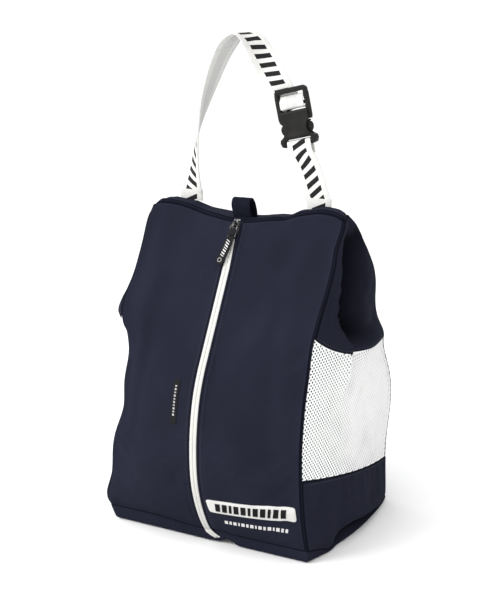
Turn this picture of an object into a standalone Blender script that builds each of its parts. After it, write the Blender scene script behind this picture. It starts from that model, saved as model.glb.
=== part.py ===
"""Golf shoe bag: a soft zipped shoe bag with mesh sides and a webbing carry handle.

Metres, +Z up. The front is -Y and +X is the right side as seen from the front. The origin is on
the ground under the middle of the bag. The shape functions work in millimetres, with Y measured
from the middle of the bottom panel, and every mesh is moved and scaled when it is made.
"""

from math import cos, pi, radians, sin

import bmesh
import bpy
import numpy as np
from mathutils import Matrix, Vector

MM = 0.001
ORIGIN = (0, -3.9, 0)     # the object's origin in the millimetre coordinates used below
GAP = 0.3                 # clearance between neighbouring pieces
SEAM = 0.4                # step back of each panel from a mitred seam

# Bag body
PANEL = 2.5               # lined fabric thickness
MESH = 1.0                # mesh window thickness
RIM_Z = 12.0              # height of the seam round the bottom panel
TOP_Z = 318.0             # height of the top corners
TOP_SAG = 12.5            # dip of the top edge in the middle
SAG_REACH = 86.0          # half length of the dip along the top
SAG_START_Z = 235.0       # height where the dip begins to show
BULGE_POWER = 2.2         # how boxy the front and back bellies are
PANEL_ROWS = 26           # rows of points up the front and back

HALF_WIDTH = ((RIM_Z, 106.5), (45, 106), (90, 105), (150, 103), (200, 104), (250, 105),
              (TOP_Z, 103.5))
SIDE_BULGE = ((RIM_Z, 11), (60, 7), (120, 6), (200, 8), (235, 7), (280, 3), (TOP_Z, 0))
FRONT_EDGE = ((RIM_Z, -94), (36, -100), (90, -104), (108, -103), (130, -99), (175, -89),
              (207, -82), (227, -73), (252, -58), (273, -47), (TOP_Z, -30))
BACK_EDGE = ((RIM_Z, 88), (60, 89), (110, 93), (135, 92), (158, 84), (181, 71), (213, 56),
             (241, 47), (265, 37), (291, 18), (304, 4), (TOP_Z, -7))
BACK_BULGE = ((RIM_Z, 1), (36, 9), (65, 15), (95, 18), (140, 20), (180, 15), (220, 7), (290, 1),
              (TOP_Z, 0))

# Zip
ZIP_LOW = (-104.0, 172.0)      # y, z where the straight upper run of the zip begins
ZIP_HIGH = (-36.0, 303.0)      # y, z near its top end
ZIP_BELLY = ((RIM_Z, -94.5), (23, -101.5), (38, -109), (65, -117.5), (95, -120), (130, -117),
             (150, -112.5))
ZIP_OPENING = 4.9              # half width of the gap between the front panels
TAPE_HALF = 4.5
CHAIN_HALF = 3.0
CHAIN_SLIT = 0.7               # half gap between the two coils, for the slider's post
ZIP_END_Y = -60.0              # where the zip ends under the bottom panel

# Handle
WEBBING = 25.0
WEBBING_THICK = 1.6
PIVOT_Y = -9.0
PIVOT_Z = 321.0
ROOT_X = (-68.0, 72.5)         # middle of each sewn end of the handle
BUCKLE_TOP = (40.7, 427.5)     # x, z of the middle of the buckle's top edge
BUCKLE_TILT = radians(12.6)    # lean of the buckle from upright

# Gusset seams: height along the side from the front corner (0) to the back corner (1)
HEM = (211.0, -90.0, 60.0)
LOWER_SEAM = (83.0, -46.0, 10.0)


def smooth_table(points):
    """A smooth curve through (position, value) points, as a function of position."""
    where = np.array([p[0] for p in points], float)
    value = np.array([p[1] for p in points], float)
    slope = np.gradient(value, where)

    def evaluate(at):
        at = min(max(at, where[0]), where[-1])
        i = int(min(np.searchsorted(where, at, side="right"), len(where) - 1)) - 1
        step = where[i + 1] - where[i]
        t = (at - where[i]) / step
        return float(
            (2 * t**3 - 3 * t**2 + 1) * value[i]
            + (t**3 - 2 * t**2 + t) * step * slope[i]
            + (3 * t**2 - 2 * t**3) * value[i + 1]
            + (t**3 - t**2) * step * slope[i + 1]
        )

    return evaluate


def zip_line_y(z):
    """Y of the straight upper run of the zip, carried on past both of its ends."""
    rate = (ZIP_HIGH[0] - ZIP_LOW[0]) / (ZIP_HIGH[1] - ZIP_LOW[1])
    return ZIP_LOW[0] + rate * (z - ZIP_LOW[1])


STRAIGHT_RUN = tuple((z, zip_line_y(z)) for z in (ZIP_LOW[1], 185.0, 240.0, ZIP_HIGH[1], TOP_Z))

half_width = smooth_table(HALF_WIDTH)
side_bulge = smooth_table(SIDE_BULGE)
front_edge = smooth_table(FRONT_EDGE)
front_middle = smooth_table(ZIP_BELLY + STRAIGHT_RUN)
back_edge = smooth_table(BACK_EDGE)
back_bulge = smooth_table(BACK_BULGE)


def top_z(x):
    """Height of the bag's top edge, which dips in the middle."""
    if abs(x) >= SAG_REACH:
        return TOP_Z
    return TOP_Z - TOP_SAG * cos(0.5 * pi * x / SAG_REACH) ** 2


def sagged(x, level):
    """Actual height of the point that would be at this level on a bag with a level top."""
    rise = max(0.0, (level - SAG_START_Z) / (TOP_Z - SAG_START_Z))
    return level - (TOP_Z - top_z(x)) * rise**1.5


def crown(x, z):
    """1 in the middle of the width and 0 at the corner seams."""
    return 1.0 - min(1.0, abs(x) / half_width(z)) ** BULGE_POWER


def front_y(x, z):
    edge = front_edge(z)
    return edge + (front_middle(z) - edge) * crown(x, z)


def back_y(x, z):
    return back_edge(z) + back_bulge(z) * crown(x, z)


def side_x(t, z):
    """Distance of the side from the middle plane; t is 0 at the front corner and 1 at the back."""
    return half_width(z) + side_bulge(z) * (1.0 - (2.0 * t - 1.0) ** 2)


def hem_z(t):
    return HEM[0] + HEM[1] * t + HEM[2] * t * t


def lower_seam_z(t):
    return LOWER_SEAM[0] + LOWER_SEAM[1] * t + LOWER_SEAM[2] * t * t


# Mesh making


def material(name, colour, roughness, metallic=0.0):
    made = bpy.data.materials.new(name)
    made.use_nodes = True
    shader = made.node_tree.nodes["Principled BSDF"]
    shader.inputs["Base Color"].default_value = (*colour, 1.0)
    shader.inputs["Roughness"].default_value = roughness
    shader.inputs["Metallic"].default_value = metallic
    made.diffuse_color = (*colour, 1.0)
    return made


def solid(name, points, faces, look, collection, pivot=(0, 0, 0), smooth=True):
    """A mesh object from points in millimetres, with its origin on the given pivot."""
    mesh = bpy.data.meshes.new(name)
    base = Vector(pivot)
    mesh.from_pydata([(Vector(p) - base) * MM for p in points], [], faces)
    mesh.materials.append(look)
    made = bmesh.new()
    made.from_mesh(mesh)
    bmesh.ops.recalc_face_normals(made, faces=made.faces)
    made.to_mesh(mesh)
    made.free()
    if smooth:
        mesh.shade_smooth()
        mesh.set_sharp_from_angle(angle=radians(35))
    item = bpy.data.objects.new(name, mesh)
    item.location = (base - Vector(ORIGIN)) * MM
    collection.objects.link(item)
    return item


def sheet(name, outer, inner, look, collection, pivot=(0, 0, 0)):
    """A closed sheet between two grids of points that have the same rows and columns."""
    rows = len(outer)
    cols = len(outer[0])
    points = [p for grid in (outer, inner) for row in grid for p in row]
    back = rows * cols

    def at(r, c):
        return r * cols + c

    faces = []
    for r in range(rows - 1):
        for c in range(cols - 1):
            quad = (at(r, c), at(r, c + 1), at(r + 1, c + 1), at(r + 1, c))
            faces.append(quad)
            faces.append(tuple(back + i for i in reversed(quad)))
    border = [at(0, c) for c in range(cols)]
    border += [at(r, cols - 1) for r in range(1, rows)]
    border += [at(rows - 1, c) for c in range(cols - 2, -1, -1)]
    border += [at(r, 0) for r in range(rows - 2, 0, -1)]
    for a, b in zip(border, border[1:] + border[:1]):
        faces.append((b, a, back + a, back + b))
    return solid(name, points, faces, look, collection, pivot)


def loft(name, rings, look, collection, pivot=(0, 0, 0)):
    """A closed solid through rings of points, with flat ends."""
    count = len(rings[0])
    points = [p for ring in rings for p in ring]
    faces = [tuple(range(count)), tuple(reversed(range(len(points) - count, len(points))))]
    for r in range(len(rings) - 1):
        for i in range(count):
            j = (i + 1) % count
            low = r * count
            faces.append((low + i, low + count + i, low + count + j, low + j))
    return solid(name, points, faces, look, collection, pivot)


def block(name, low, high, look, collection, bevel=0.0, pivot=(0, 0, 0)):
    """A box between two corners, with rounded edges."""
    mesh = bpy.data.meshes.new(name)
    made = bmesh.new()
    bmesh.ops.create_cube(made, size=1.0)
    size = Vector(high) - Vector(low)
    middle = (Vector(high) + Vector(low)) / 2 - Vector(pivot)
    place = Matrix.Translation(middle * MM) @ Matrix.Diagonal((*(size * MM), 1.0))
    bmesh.ops.transform(made, matrix=place, verts=made.verts)
    made.to_mesh(mesh)
    made.free()
    mesh.materials.append(look)
    item = bpy.data.objects.new(name, mesh)
    item.location = (Vector(pivot) - Vector(ORIGIN)) * MM
    collection.objects.link(item)
    if bevel:
        edge = item.modifiers.new("round", "BEVEL")
        edge.width = bevel * MM
        edge.segments = 2
    return item


def cut(item, cutter):
    """Takes a cutter's volume out of an object."""
    trim = item.modifiers.new("cut", "BOOLEAN")
    trim.operation = "DIFFERENCE"
    trim.solver = "EXACT"
    trim.object = cutter


def join(item, other):
    """Unites another solid with an object; the other one is then only a guide."""
    union = item.modifiers.new("join", "BOOLEAN")
    union.operation = "UNION"
    union.solver = "EXACT"
    union.object = other


def hide_as_tool(item):
    item.hide_render = True
    item.display_type = "WIRE"


# Bag body panels


def spread(low, high, count):
    return [float(v) for v in np.linspace(low, high, count)]


def front_panel(name, side, look, collection):
    """One half of the front, from the zip opening to the corner seam. side is -1 or 1."""

    def grid(depth):
        rows = []
        for level in spread(RIM_Z, TOP_Z, PANEL_ROWS):
            row = []
            for u in spread(0.0, 1.0, 6):
                corner = half_width(level) - depth - SEAM
                x = ZIP_OPENING + (corner - ZIP_OPENING) * u
                z = sagged(x, level)
                if level == TOP_Z:
                    z -= depth + SEAM
                row.append((side * x, front_y(x, z) + depth, z))
            rows.append(row)
        return rows

    return sheet(name, grid(0.0), grid(PANEL), look, collection)


def back_panel(look, collection):
    def grid(depth):
        rows = []
        for level in spread(RIM_Z, TOP_Z, PANEL_ROWS):
            row = []
            for u in spread(-1.0, 1.0, 9):
                x = u * (half_width(level) - depth - SEAM)
                z = sagged(x, level)
                if level == TOP_Z:
                    z -= depth + SEAM
                row.append((x, back_y(x, z) - depth, z))
            rows.append(row)
        return rows

    return sheet("back_panel", grid(0.0), grid(PANEL), look, collection)


def gusset_panel(name, side, low, high, thick, rows_count, look, collection):
    """A side panel between two height functions of t. side is -1 or 1."""

    def grid(depth):
        rows = []
        for v in spread(0.0, 1.0, rows_count):
            row = []
            for t in spread(0.0, 1.0, 8):
                bottom = low(t)
                top = high(t, depth)
                z = bottom + (top - bottom) * v
                front = front_edge(z) + depth + SEAM
                back = back_edge(z) - depth - SEAM
                row.append((side * (side_x(t, z) - depth), front + (back - front) * t, z))
            rows.append(row)
        return rows

    return sheet(name, grid(0.0), grid(thick), look, collection)


def gusset(side, name_end, looks, collection):
    """The three pieces of one side: lower fabric, mesh window and upper fabric."""
    half_gap = GAP / 2
    gusset_panel(f"gusset_lower_{name_end}", side, lambda t: RIM_Z,
                 lambda t, depth: lower_seam_z(t) - half_gap, PANEL, 6, looks["navy"], collection)
    gusset_panel(f"mesh_window_{name_end}", side, lambda t: lower_seam_z(t) + half_gap,
                 lambda t, depth: hem_z(t) - half_gap, MESH, 12, looks["mesh"], collection)
    gusset_panel(f"gusset_upper_{name_end}", side, lambda t: hem_z(t) + half_gap,
                 lambda t, depth: TOP_Z - depth - SEAM, PANEL, 13, looks["navy"], collection)


def top_panel(look, collection):
    def grid(depth):
        rows = []
        for v in spread(0.0, 1.0, 3):
            row = []
            for u in spread(-1.0, 1.0, 19):
                x = u * (half_width(TOP_Z) - depth - SEAM)
                z = top_z(x) - depth
                front = front_y(x, z) + depth + SEAM
                back = back_y(x, z) - depth - SEAM
                row.append((x, front + (back - front) * v, z))
            rows.append(row)
        return rows

    return sheet("top_panel", grid(0.0), grid(PANEL), look, collection)


def bottom_panel(look, collection):
    """The base: flat where it stands, with a thick edge that meets the walls."""
    steps = (-1.0, -0.97, -0.93, -0.86, -0.5, 0.0, 0.5, 0.86, 0.93, 0.97, 1.0)
    roll_from = 0.93
    roll_up = 2.5

    def grid(rise, start, low):
        rows = []
        for t in steps:
            row = []
            for s in steps:
                x = s * side_x((t + 1) / 2, RIM_Z)
                front = front_y(x, RIM_Z)
                back = back_y(x, RIM_Z)
                edge = max(0.0, (max(abs(s), abs(t)) - start) / (1.0 - start))
                row.append((x, front + (back - front) * (t + 1) / 2, low + rise * edge**2))
            rows.append(row)
        return rows

    inside = grid(RIM_Z - GAP - PANEL, 0.86, PANEL)
    return sheet("bottom_panel", grid(roll_up, roll_from, 0.0), inside, look, collection)


# Zip


def zip_path():
    """(y, z) points down the front, round the bottom edge and under the bottom panel."""
    down = [(front_middle(z), z) for z in spread(ZIP_HIGH[1] - 0.5, 172.0, 8)]
    down += [(front_middle(z), z) for z in spread(156.0, RIM_Z, 12)]
    under = [(-93.2, 7.0), (-91.0, 3.2), (-86.0, 1.3), (-79.0, 1.1), (ZIP_END_Y, 1.1)]
    return down + under


def zip_strip(name, near, far, deep, proud, look, collection):
    """A strip along the zip between two x values, from deep below the path to proud above it."""
    path = zip_path()
    rings = []
    for i, (y, z) in enumerate(path):
        before = path[max(i - 1, 0)]
        after = path[min(i + 1, len(path) - 1)]
        along = Vector((after[0] - before[0], after[1] - before[1])).normalized()
        out = Vector((along.y, -along.x))
        inner = (y + out.x * deep, z + out.y * deep)
        outer = (y + out.x * proud, z + out.y * proud)
        rings.append([(near, *inner), (far, *inner), (far, *outer), (near, *outer)])
    return loft(name, rings, look, collection)


def zip_frame():
    """Unit directions of the straight run: down along it, and out of the bag."""
    along = Vector((0, ZIP_LOW[0] - ZIP_HIGH[0], ZIP_LOW[1] - ZIP_HIGH[1])).normalized()
    return along, Vector((0, along.z, -along.y))


def on_zip(along_mm, x, out_mm):
    """A point by its distance down the straight run, its x and its height above the path."""
    along, out = zip_frame()
    return Vector((0, *ZIP_HIGH)) + along * along_mm + out * out_mm + Vector((x, 0, 0))


def zip_prism(name, outline, start, end, look, collection, pivot=(0, 0, 0)):
    """An outline of (x, height) points drawn out along the straight run of the zip."""
    rings = [[on_zip(where, x, up) for x, up in outline] for where in (start, end)]
    return loft(name, rings, look, collection, pivot)


SLIDER_START = 2.0        # distance of the slider's top end down the straight run
SLIDER_LONG = 12.0
PULL_AT = 6.5             # distance of the pull's hinge down the run
PULL_UP = 5.2             # height of the top of the pull's link above the zip
PULLER_LEAN = radians(11)  # how far the tape hangs askew


def zip_slider(look, collection):
    """Two plates joined by a post between the coils, with a bail on the outer plate."""
    post = 0.35
    outline = [(-4.6, 1.3), (-post, 1.3), (-post, -1.9), (-4.0, -1.9), (-4.0, -3.1),
               (4.0, -3.1), (4.0, -1.9), (post, -1.9), (post, 1.3), (4.6, 1.3),
               (4.6, 2.2), (3.6, 2.9), (-3.6, 2.9), (-4.6, 2.2)]
    body = zip_prism("zip_slider", outline, SLIDER_START, SLIDER_START + SLIDER_LONG, look,
                     collection)
    half = 1.2
    rings = []
    reach = 4.2
    for angle in spread(0.0, pi, 9):
        centre = (PULL_AT - reach * cos(angle), 2.2 + 4.9 * sin(angle))
        inner = (PULL_AT - (reach - 1.4) * cos(angle), 2.2 + 3.6 * sin(angle))
        rings.append([on_zip(inner[0], -half, inner[1]), on_zip(inner[0], half, inner[1]),
                      on_zip(centre[0], half, centre[1]), on_zip(centre[0], -half, centre[1])])
    bail = loft("slider_bail_tool", rings, look, collection)
    hide_as_tool(bail)
    join(body, bail)
    return body


# The pull hangs in front of the slider, so it is laid out in the zip's own directions.


def zip_pull(look, collection):
    """A metal link through the slider's bail, which carries the tape puller."""
    pivot = on_zip(PULL_AT, 0, PULL_UP - 1.2)
    wire = 0.7
    thick = (PULL_UP - 1.2 - wire, PULL_UP - 1.2 + wire)
    outer = zip_prism("zip_pull", [(-4.2, thick[0]), (4.2, thick[0]), (4.2, thick[1]),
                                   (-4.2, thick[1])], PULL_AT - wire, PULL_AT + 13.0, look,
                      collection, pivot)
    for start, end, half in ((PULL_AT + wire, PULL_AT + 7.2, 2.8), (PULL_AT + 8.8, PULL_AT + 11.4, 3.2)):
        hole = zip_prism("pull_hole_tool", [(-half, thick[0] - 2), (half, thick[0] - 2),
                                            (half, thick[1] + 2), (-half, thick[1] + 2)],
                         start, end, look, bpy.data.collections["cutters"])
        hide_as_tool(hole)
        cut(outer, hole)
    return outer


def puller_tape(look, collection):
    """A flat tape through the pull's lower slot, which hangs askew over the zip."""
    level = PULL_UP - 1.2
    bend = PULL_AT + 12.4
    threaded = 3            # stations that lie in the slot, where the tape is narrow and thin
    path = [(PULL_AT + 10.1, level - 0.9), (PULL_AT + 10.1, level + 1.0), (bend, level + 2.1),
            (bend + 3.6, level + 1.5), (bend + 11.6, level + 0.3), (bend + 27.6, level - 0.3),
            (bend + 39.6, level - 0.6)]
    rings = []
    for i, (s, up) in enumerate(path):
        before = path[max(i - 1, 0)]
        after = path[min(i + 1, len(path) - 1)]
        run = Vector((after[0] - before[0], after[1] - before[1])).normalized()
        half = 0.45 if i < threaded else 0.8
        wide = 2.9 if i < threaded else 4.3
        lean = 0.0 if i < threaded else PULLER_LEAN
        side = Vector((-run.y, run.x)) * half
        ring = []
        for x, sign in ((-wide, -1), (wide, -1), (wide, 1), (-wide, 1)):
            down = s + sign * side.x - bend
            place = (bend + down * cos(lean) + x * sin(lean), x * cos(lean) - down * sin(lean))
            ring.append(on_zip(place[0], place[1], up + sign * side.y))
        rings.append(ring)
    return loft("puller_tape", rings, look, collection, on_zip(PULL_AT + 12.2, 0, level))


# Webbing


def direction(places, i):
    """Which way a strap runs at one of its places. Its first end is square to the vertical."""
    if i == 0:
        return Vector((0, 0, 1))
    return (places[min(i + 1, len(places) - 1)] - places[i - 1]).normalized()


def ribbon(name, stations, look, collection, pivot=(0, 0, 0), width=WEBBING, thick=WEBBING_THICK):
    """Flat webbing along (x, y, z, twist) stations. Twist is the turn in degrees of its width
    out of the XZ plane about its own path."""
    places = [Vector(s[:3]) for s in stations]
    rings = []
    for i, station in enumerate(stations):
        along = direction(places, i)
        outward = Vector((-along.z, 0, along.x)).normalized()
        turn = Matrix.Rotation(-radians(station[3]), 3, along)
        across = turn @ outward
        face = along.cross(across)
        across = across * (width / 2)
        face = face * (thick / 2)
        rings.append([places[i] - across - face, places[i] + across - face,
                      places[i] + across + face, places[i] - across + face])
    return loft(name, rings, look, collection, pivot)


def smooth_stations(points, count):
    """Evenly spaced stations on smooth curves through the given ones."""
    table = np.array(points, float)
    length = np.concatenate(([0.0], np.cumsum(np.linalg.norm(np.diff(table[:, :3], axis=0), axis=1))))
    curves = [smooth_table(list(zip(length, table[:, k]))) for k in range(4)]
    return [tuple(curve(s) for curve in curves) for s in spread(0.0, length[-1], count)]


HANDLE_PIVOT = (0, PIVOT_Y, PIVOT_Z)


def strap_long(look, collection):
    """From the left sewn end up over the peak of the handle and down behind the buckle's plug."""
    behind = PIVOT_Y + 3.6
    route = [(ROOT_X[0], PIVOT_Y, PIVOT_Z + 0.9, 0), (-66.0, PIVOT_Y, 340, 28),
             (-62.5, PIVOT_Y, 366, 50), (-58.5, PIVOT_Y, 386, 62), (-52.5, PIVOT_Y, 408, 78),
             (-44.0, PIVOT_Y, 431, 92), (-34.2, PIVOT_Y, 452.5, 100),
             (-25.0, PIVOT_Y, 467.0, 104), (-12.2, PIVOT_Y, 476.5, 88),
             (0.8, PIVOT_Y + 1, 470.4, 60), (9.5, PIVOT_Y + 2, 458.0, 42),
             (18.5, behind, 443.5, 15), (25.5, behind, 432.0, 3), (32.5, behind, 422.0, 0),
             (38.5, behind, 414.0, 0), (42.5, behind, 407.5, 0)]
    return ribbon("strap_long", smooth_stations(route, 44), look, collection, HANDLE_PIVOT)


def strap_short(look, collection):
    """From the right sewn end up through the buckle socket's slot and round its bar."""
    route = [(ROOT_X[1], PIVOT_Y, PIVOT_Z + 0.9, 0), (67.2, PIVOT_Y, 337, 0),
             (60.5, PIVOT_Y - 1.2, 356, 0)]
    route += [(*buckle_point(0, v, w), 0) for v, w in ((60.0, 2.9), (52.5, 2.9))]
    leg = smooth_stations(route, 14)
    turn = [buckle_point(0, v, w) for v, w in ((49.9, 2.4), (48.9, 0.8), (48.9, -0.8),
                                              (49.9, -2.4), (53.5, -2.9), (63.0, -2.9))]
    stations = leg + [(*p, 0) for p in turn]
    return hairpin("strap_short", stations, look, collection)


def hairpin(name, stations, look, collection):
    """Webbing that turns back on itself, with its width held level in the buckle's plane."""
    tilted = buckle_point(1, 0, 0) - buckle_point(0, 0, 0)
    places = [Vector(s[:3]) for s in stations]
    rings = []
    for i, place in enumerate(places):
        along = direction(places, i)
        across = Vector((1, 0, 0)).lerp(tilted, min(1.0, i / 6))
        wide = (across - along * across.dot(along)).normalized()
        face = along.cross(wide) * (1.3 / 2)
        wide = wide * (WEBBING / 2)
        rings.append([place - wide - face, place + wide - face, place + wide + face,
                      place - wide + face])
    return loft(name, rings, look, collection, HANDLE_PIVOT)


def strap_root(name, middle, look, collection):
    """The sewn end of the handle, standing on the top panel."""
    half = WEBBING / 2
    columns = spread(middle - half, middle + half, 6)

    def grid(y):
        low = [(x, y, top_z(x) + GAP) for x in columns]
        high = [(x, y, PIVOT_Z - 1.2) for x in columns]
        return [low, high]

    return sheet(name, grid(PIVOT_Y - 1.2), grid(PIVOT_Y + 1.2), look, collection)


def loop_tab(look, collection):
    """A short folded tab at the top end of the zip, leaning forwards."""
    path = [(-26.0, top_z(0) + 0.6), (-29.0, 312.0), (-30.5, 318.0), (-28.6, 322.6),
            (-24.4, 323.4), (-20.4, 320.0), (-16.8, 313.0), (-14.6, top_z(0) + 0.6)]
    half = 0.8
    rings = []
    for i, (y, z) in enumerate(path):
        before = path[max(i - 1, 0)]
        after = path[min(i + 1, len(path) - 1)]
        run = Vector((after[0] - before[0], after[1] - before[1])).normalized()
        if i in (0, len(path) - 1):
            run = Vector((0, 1 if i == 0 else -1))
        side = Vector((-run.y, run.x)) * half
        rings.append([(-10, y - side.x, z - side.y), (10, y - side.x, z - side.y),
                      (10, y + side.x, z + side.y), (-10, y + side.x, z + side.y)])
    return loft("loop_tab", rings, look, collection)


# Buckle


def buckle_point(u, v, w):
    """A point by its place across the buckle, down from its top edge and out to the front."""
    down = Vector((sin(BUCKLE_TILT), 0, -cos(BUCKLE_TILT)))
    across = Vector((cos(BUCKLE_TILT), 0, sin(BUCKLE_TILT)))
    top = Vector((BUCKLE_TOP[0], PIVOT_Y, BUCKLE_TOP[1]))
    return top + across * u + down * v + Vector((0, -w, 0))


def buckle_plate(name, outline, back, front, look, collection, pivot=(0, 0, 0), bevel=0.5):
    """A flat outline of (u, v) points between two distances from the buckle's middle plane."""
    rings = [[buckle_point(u, v, w) for u, v in outline] for w in (back, front)]
    made = loft(name, rings, look, collection, pivot)
    if bevel:
        edge = made.modifiers.new("round", "BEVEL")
        edge.width = bevel * MM
        edge.segments = 1
        edge.limit_method = "ANGLE"
    return made


def mirrored(outline):
    """An outline's right half, top to bottom, made whole."""
    return outline + [(-u, v) for u, v in reversed(outline)]


def box_outline(half, top, bottom):
    return [(half, top), (half, bottom), (-half, bottom), (-half, top)]


def tool_plate(name, outline, back, front, look):
    made = buckle_plate(name, outline, back, front, look, bpy.data.collections["cutters"], bevel=0)
    hide_as_tool(made)
    return made


def buckle_plug(look, collection):
    """The plug: a ladder lock frame with two slots, a base and a centre tongue."""
    frame = mirrored([(14.0, 0.0), (16.6, 2.4), (17.2, 8.0), (17.2, 28.0), (16.4, 31.2)])
    body = buckle_plate("buckle_plug", frame, -2.2, 2.2, look, collection, bevel=0)
    cut(body, tool_plate("window_tool", box_outline(13.2, 4.6, 13.8), -4, 4, look))
    cut(body, tool_plate("slot_tool", box_outline(13.2, 17.0, 21.2), -4, 4, look))
    cut(body, tool_plate("bar_relief_tool", box_outline(13.7, 13.0, 18.0), 1.5, 4, look))
    tongue = mirrored([(4.0, 30.0), (4.0, 42.0), (2.6, 44.0)])
    join(body, tool_plate("tongue_tool", tongue, -1.5, 1.5, look))
    return body


PRONG_ROOT_V = 31.6


def buckle_prong(name, side, look, collection):
    """One springy prong of the plug, with the bump that the fingers press."""
    outline = [(8.4, PRONG_ROOT_V), (11.8, PRONG_ROOT_V), (12.0, 33.0), (15.6, 34.2),
               (16.8, 37.0), (16.4, 40.5), (14.0, 43.6), (10.8, 44.6), (9.4, 42.5), (8.6, 37.0)]
    pivot = buckle_point(side * 10.1, PRONG_ROOT_V, 0)
    return buckle_plate(name, [(side * u, v) for u, v in outline], -1.6, 1.6, look, collection,
                        pivot, bevel=0)


def buckle_socket(look, collection):
    """The socket: two plates with open sides, a solid foot with ears, and a webbing slot."""
    plate = mirrored([(13.0, 31.6), (14.4, 32.6), (12.4, 34.0), (11.4, 37.5), (12.0, 41.5),
                      (15.0, 44.6), (18.2, 46.6), (18.8, 49.6), (17.4, 53.2), (13.4, 54.4)])
    body = buckle_plate("buckle_socket", plate, -3.6, 3.6, look, collection, HANDLE_PIVOT, bevel=0)
    cut(body, tool_plate("cavity_tool", box_outline(21.0, 28.0, 45.4), -2.0, 2.0, look))
    cut(body, tool_plate("webbing_slot_tool", box_outline(13.2, 47.4, 51.0), -6, 6, look))
    cut(body, tool_plate("bar_front_tool", box_outline(13.7, 48.0, 60.0), 1.4, 6, look))
    cut(body, tool_plate("bar_back_tool", box_outline(13.7, 48.0, 60.0), -6, -1.4, look))
    return body


def strap_fold(look, collection):
    """The webbing's turn over the plug's middle bar."""
    path = ((7.2, -1.2), (9.6, 0.4), (12.2, 2.5), (15.4, 2.9), (18.4, 2.5), (19.3, 0.6),
            (19.3, -1.5))
    places = [buckle_point(0, v, w) for v, w in path]
    across = buckle_point(WEBBING / 2, 0, 0) - buckle_point(0, 0, 0)
    rings = []
    for i, place in enumerate(places):
        along = (places[min(i + 1, len(places) - 1)] - places[max(i - 1, 0)]).normalized()
        face = along.cross(across).normalized() * 0.65
        rings.append([place - across - face, place + across - face, place + across + face,
                      place - across + face])
    return loft("strap_fold", rings, look, collection)


# Trim


def surface_patch(name, corners, cols, rows, lift, thick, look, collection):
    """A thin piece lying on the front. corners are (x, z) of its four corners, from the lower
    left round to the upper left."""
    low_left, low_right, high_right, high_left = [Vector(c) for c in corners]

    def grid(out):
        made = []
        for v in spread(0.0, 1.0, rows):
            row = []
            for u in spread(0.0, 1.0, cols):
                low = low_left.lerp(low_right, u)
                at = low.lerp(high_left.lerp(high_right, u), v)
                row.append((at.x, front_y(at.x, at.y) - out, at.y))
            made.append(row)
        return made

    return sheet(name, grid(lift + thick), grid(lift), look, collection)


def main():
    for item in list(bpy.data.objects):
        bpy.data.objects.remove(item)
    bag = bpy.data.collections.new("golf_shoe_bag")
    tools = bpy.data.collections.new("cutters")
    for collection in (bag, tools):
        bpy.context.scene.collection.children.link(collection)

    looks = {
        "navy": material("navy_fabric", (0.030, 0.034, 0.055), 0.85),
        "mesh": material("white_mesh", (0.80, 0.80, 0.78), 0.7),
        "zip": material("white_zip", (0.85, 0.84, 0.80), 0.6),
        "webbing": material("white_webbing", (0.82, 0.81, 0.78), 0.75),
        "metal": material("gunmetal", (0.16, 0.16, 0.17), 0.35, 0.9),
        "black": material("black_tape", (0.02, 0.02, 0.022), 0.7),
        "plastic": material("black_plastic", (0.035, 0.035, 0.033), 0.45),
        "patch": material("white_patch", (0.84, 0.83, 0.80), 0.55),
    }

    front_panel("front_panel_left", -1, looks["navy"], bag)
    front_panel("front_panel_right", 1, looks["navy"], bag)
    back_panel(looks["navy"], bag)
    base = bottom_panel(looks["navy"], bag)
    notch = block("zip_notch_tool", (-ZIP_OPENING, -120, -2), (ZIP_OPENING, ZIP_END_Y + 3.4, 16),
                  looks["navy"], tools)
    hide_as_tool(notch)
    cut(base, notch)
    top_panel(looks["navy"], bag)
    for side, name_end in ((-1, "left"), (1, "right")):
        gusset(side, name_end, looks, bag)
        zip_strip(f"zip_tape_{name_end}", side * CHAIN_SLIT, side * TAPE_HALF, -1.6, -0.6,
                  looks["zip"], bag)
        zip_strip(f"zip_coil_{name_end}", side * CHAIN_SLIT, side * CHAIN_HALF, -0.3, 0.9,
                  looks["zip"], bag)
    block("zip_bottom_stop", (-4.5, ZIP_END_Y + GAP, 0.3), (4.5, ZIP_END_Y + 3.0, 2.4),
          looks["zip"], bag)
    zip_prism("zip_top_stop", [(-3.4, -1.6), (3.4, -1.6), (3.4, 1.0), (-3.4, 1.0)], -1.6, 0.2,
              looks["metal"], bag)
    loop_tab(looks["navy"], bag)
    surface_patch("side_label", ((-29, 119), (-20, 119), (-20, 162), (-29, 162)), 3, 6, GAP, 0.8,
                  looks["black"], bag)
    surface_patch("front_patch", ((13, 40), (100, 44), (99, 58), (11, 53)), 9, 3, GAP, 1.2,
                  looks["patch"], bag)

    zip_slider(looks["metal"], bag)
    zip_pull(looks["metal"], bag)
    puller_tape(looks["black"], bag)

    strap_root("strap_root_left", ROOT_X[0], looks["webbing"], bag)
    strap_root("strap_root_right", ROOT_X[1], looks["webbing"], bag)
    strap_long(looks["webbing"], bag)
    strap_short(looks["webbing"], bag)
    strap_fold(looks["webbing"], bag)
    buckle_plug(looks["plastic"], bag)
    buckle_prong("buckle_prong_left", -1, looks["plastic"], bag)
    buckle_prong("buckle_prong_right", 1, looks["plastic"], bag)
    buckle_socket(looks["plastic"], bag)


main()
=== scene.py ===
"""Golf shoe bag: the visual model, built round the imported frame.

Shapes are in millimetres with Y measured from the middle of the bottom panel, as in the CAD
source. new_piece() moves and scales them into the frame's metres.
"""

from math import cos, pi, radians, sin

import bmesh
import bpy
import numpy as np
from mathutils import Matrix, Vector

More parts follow.
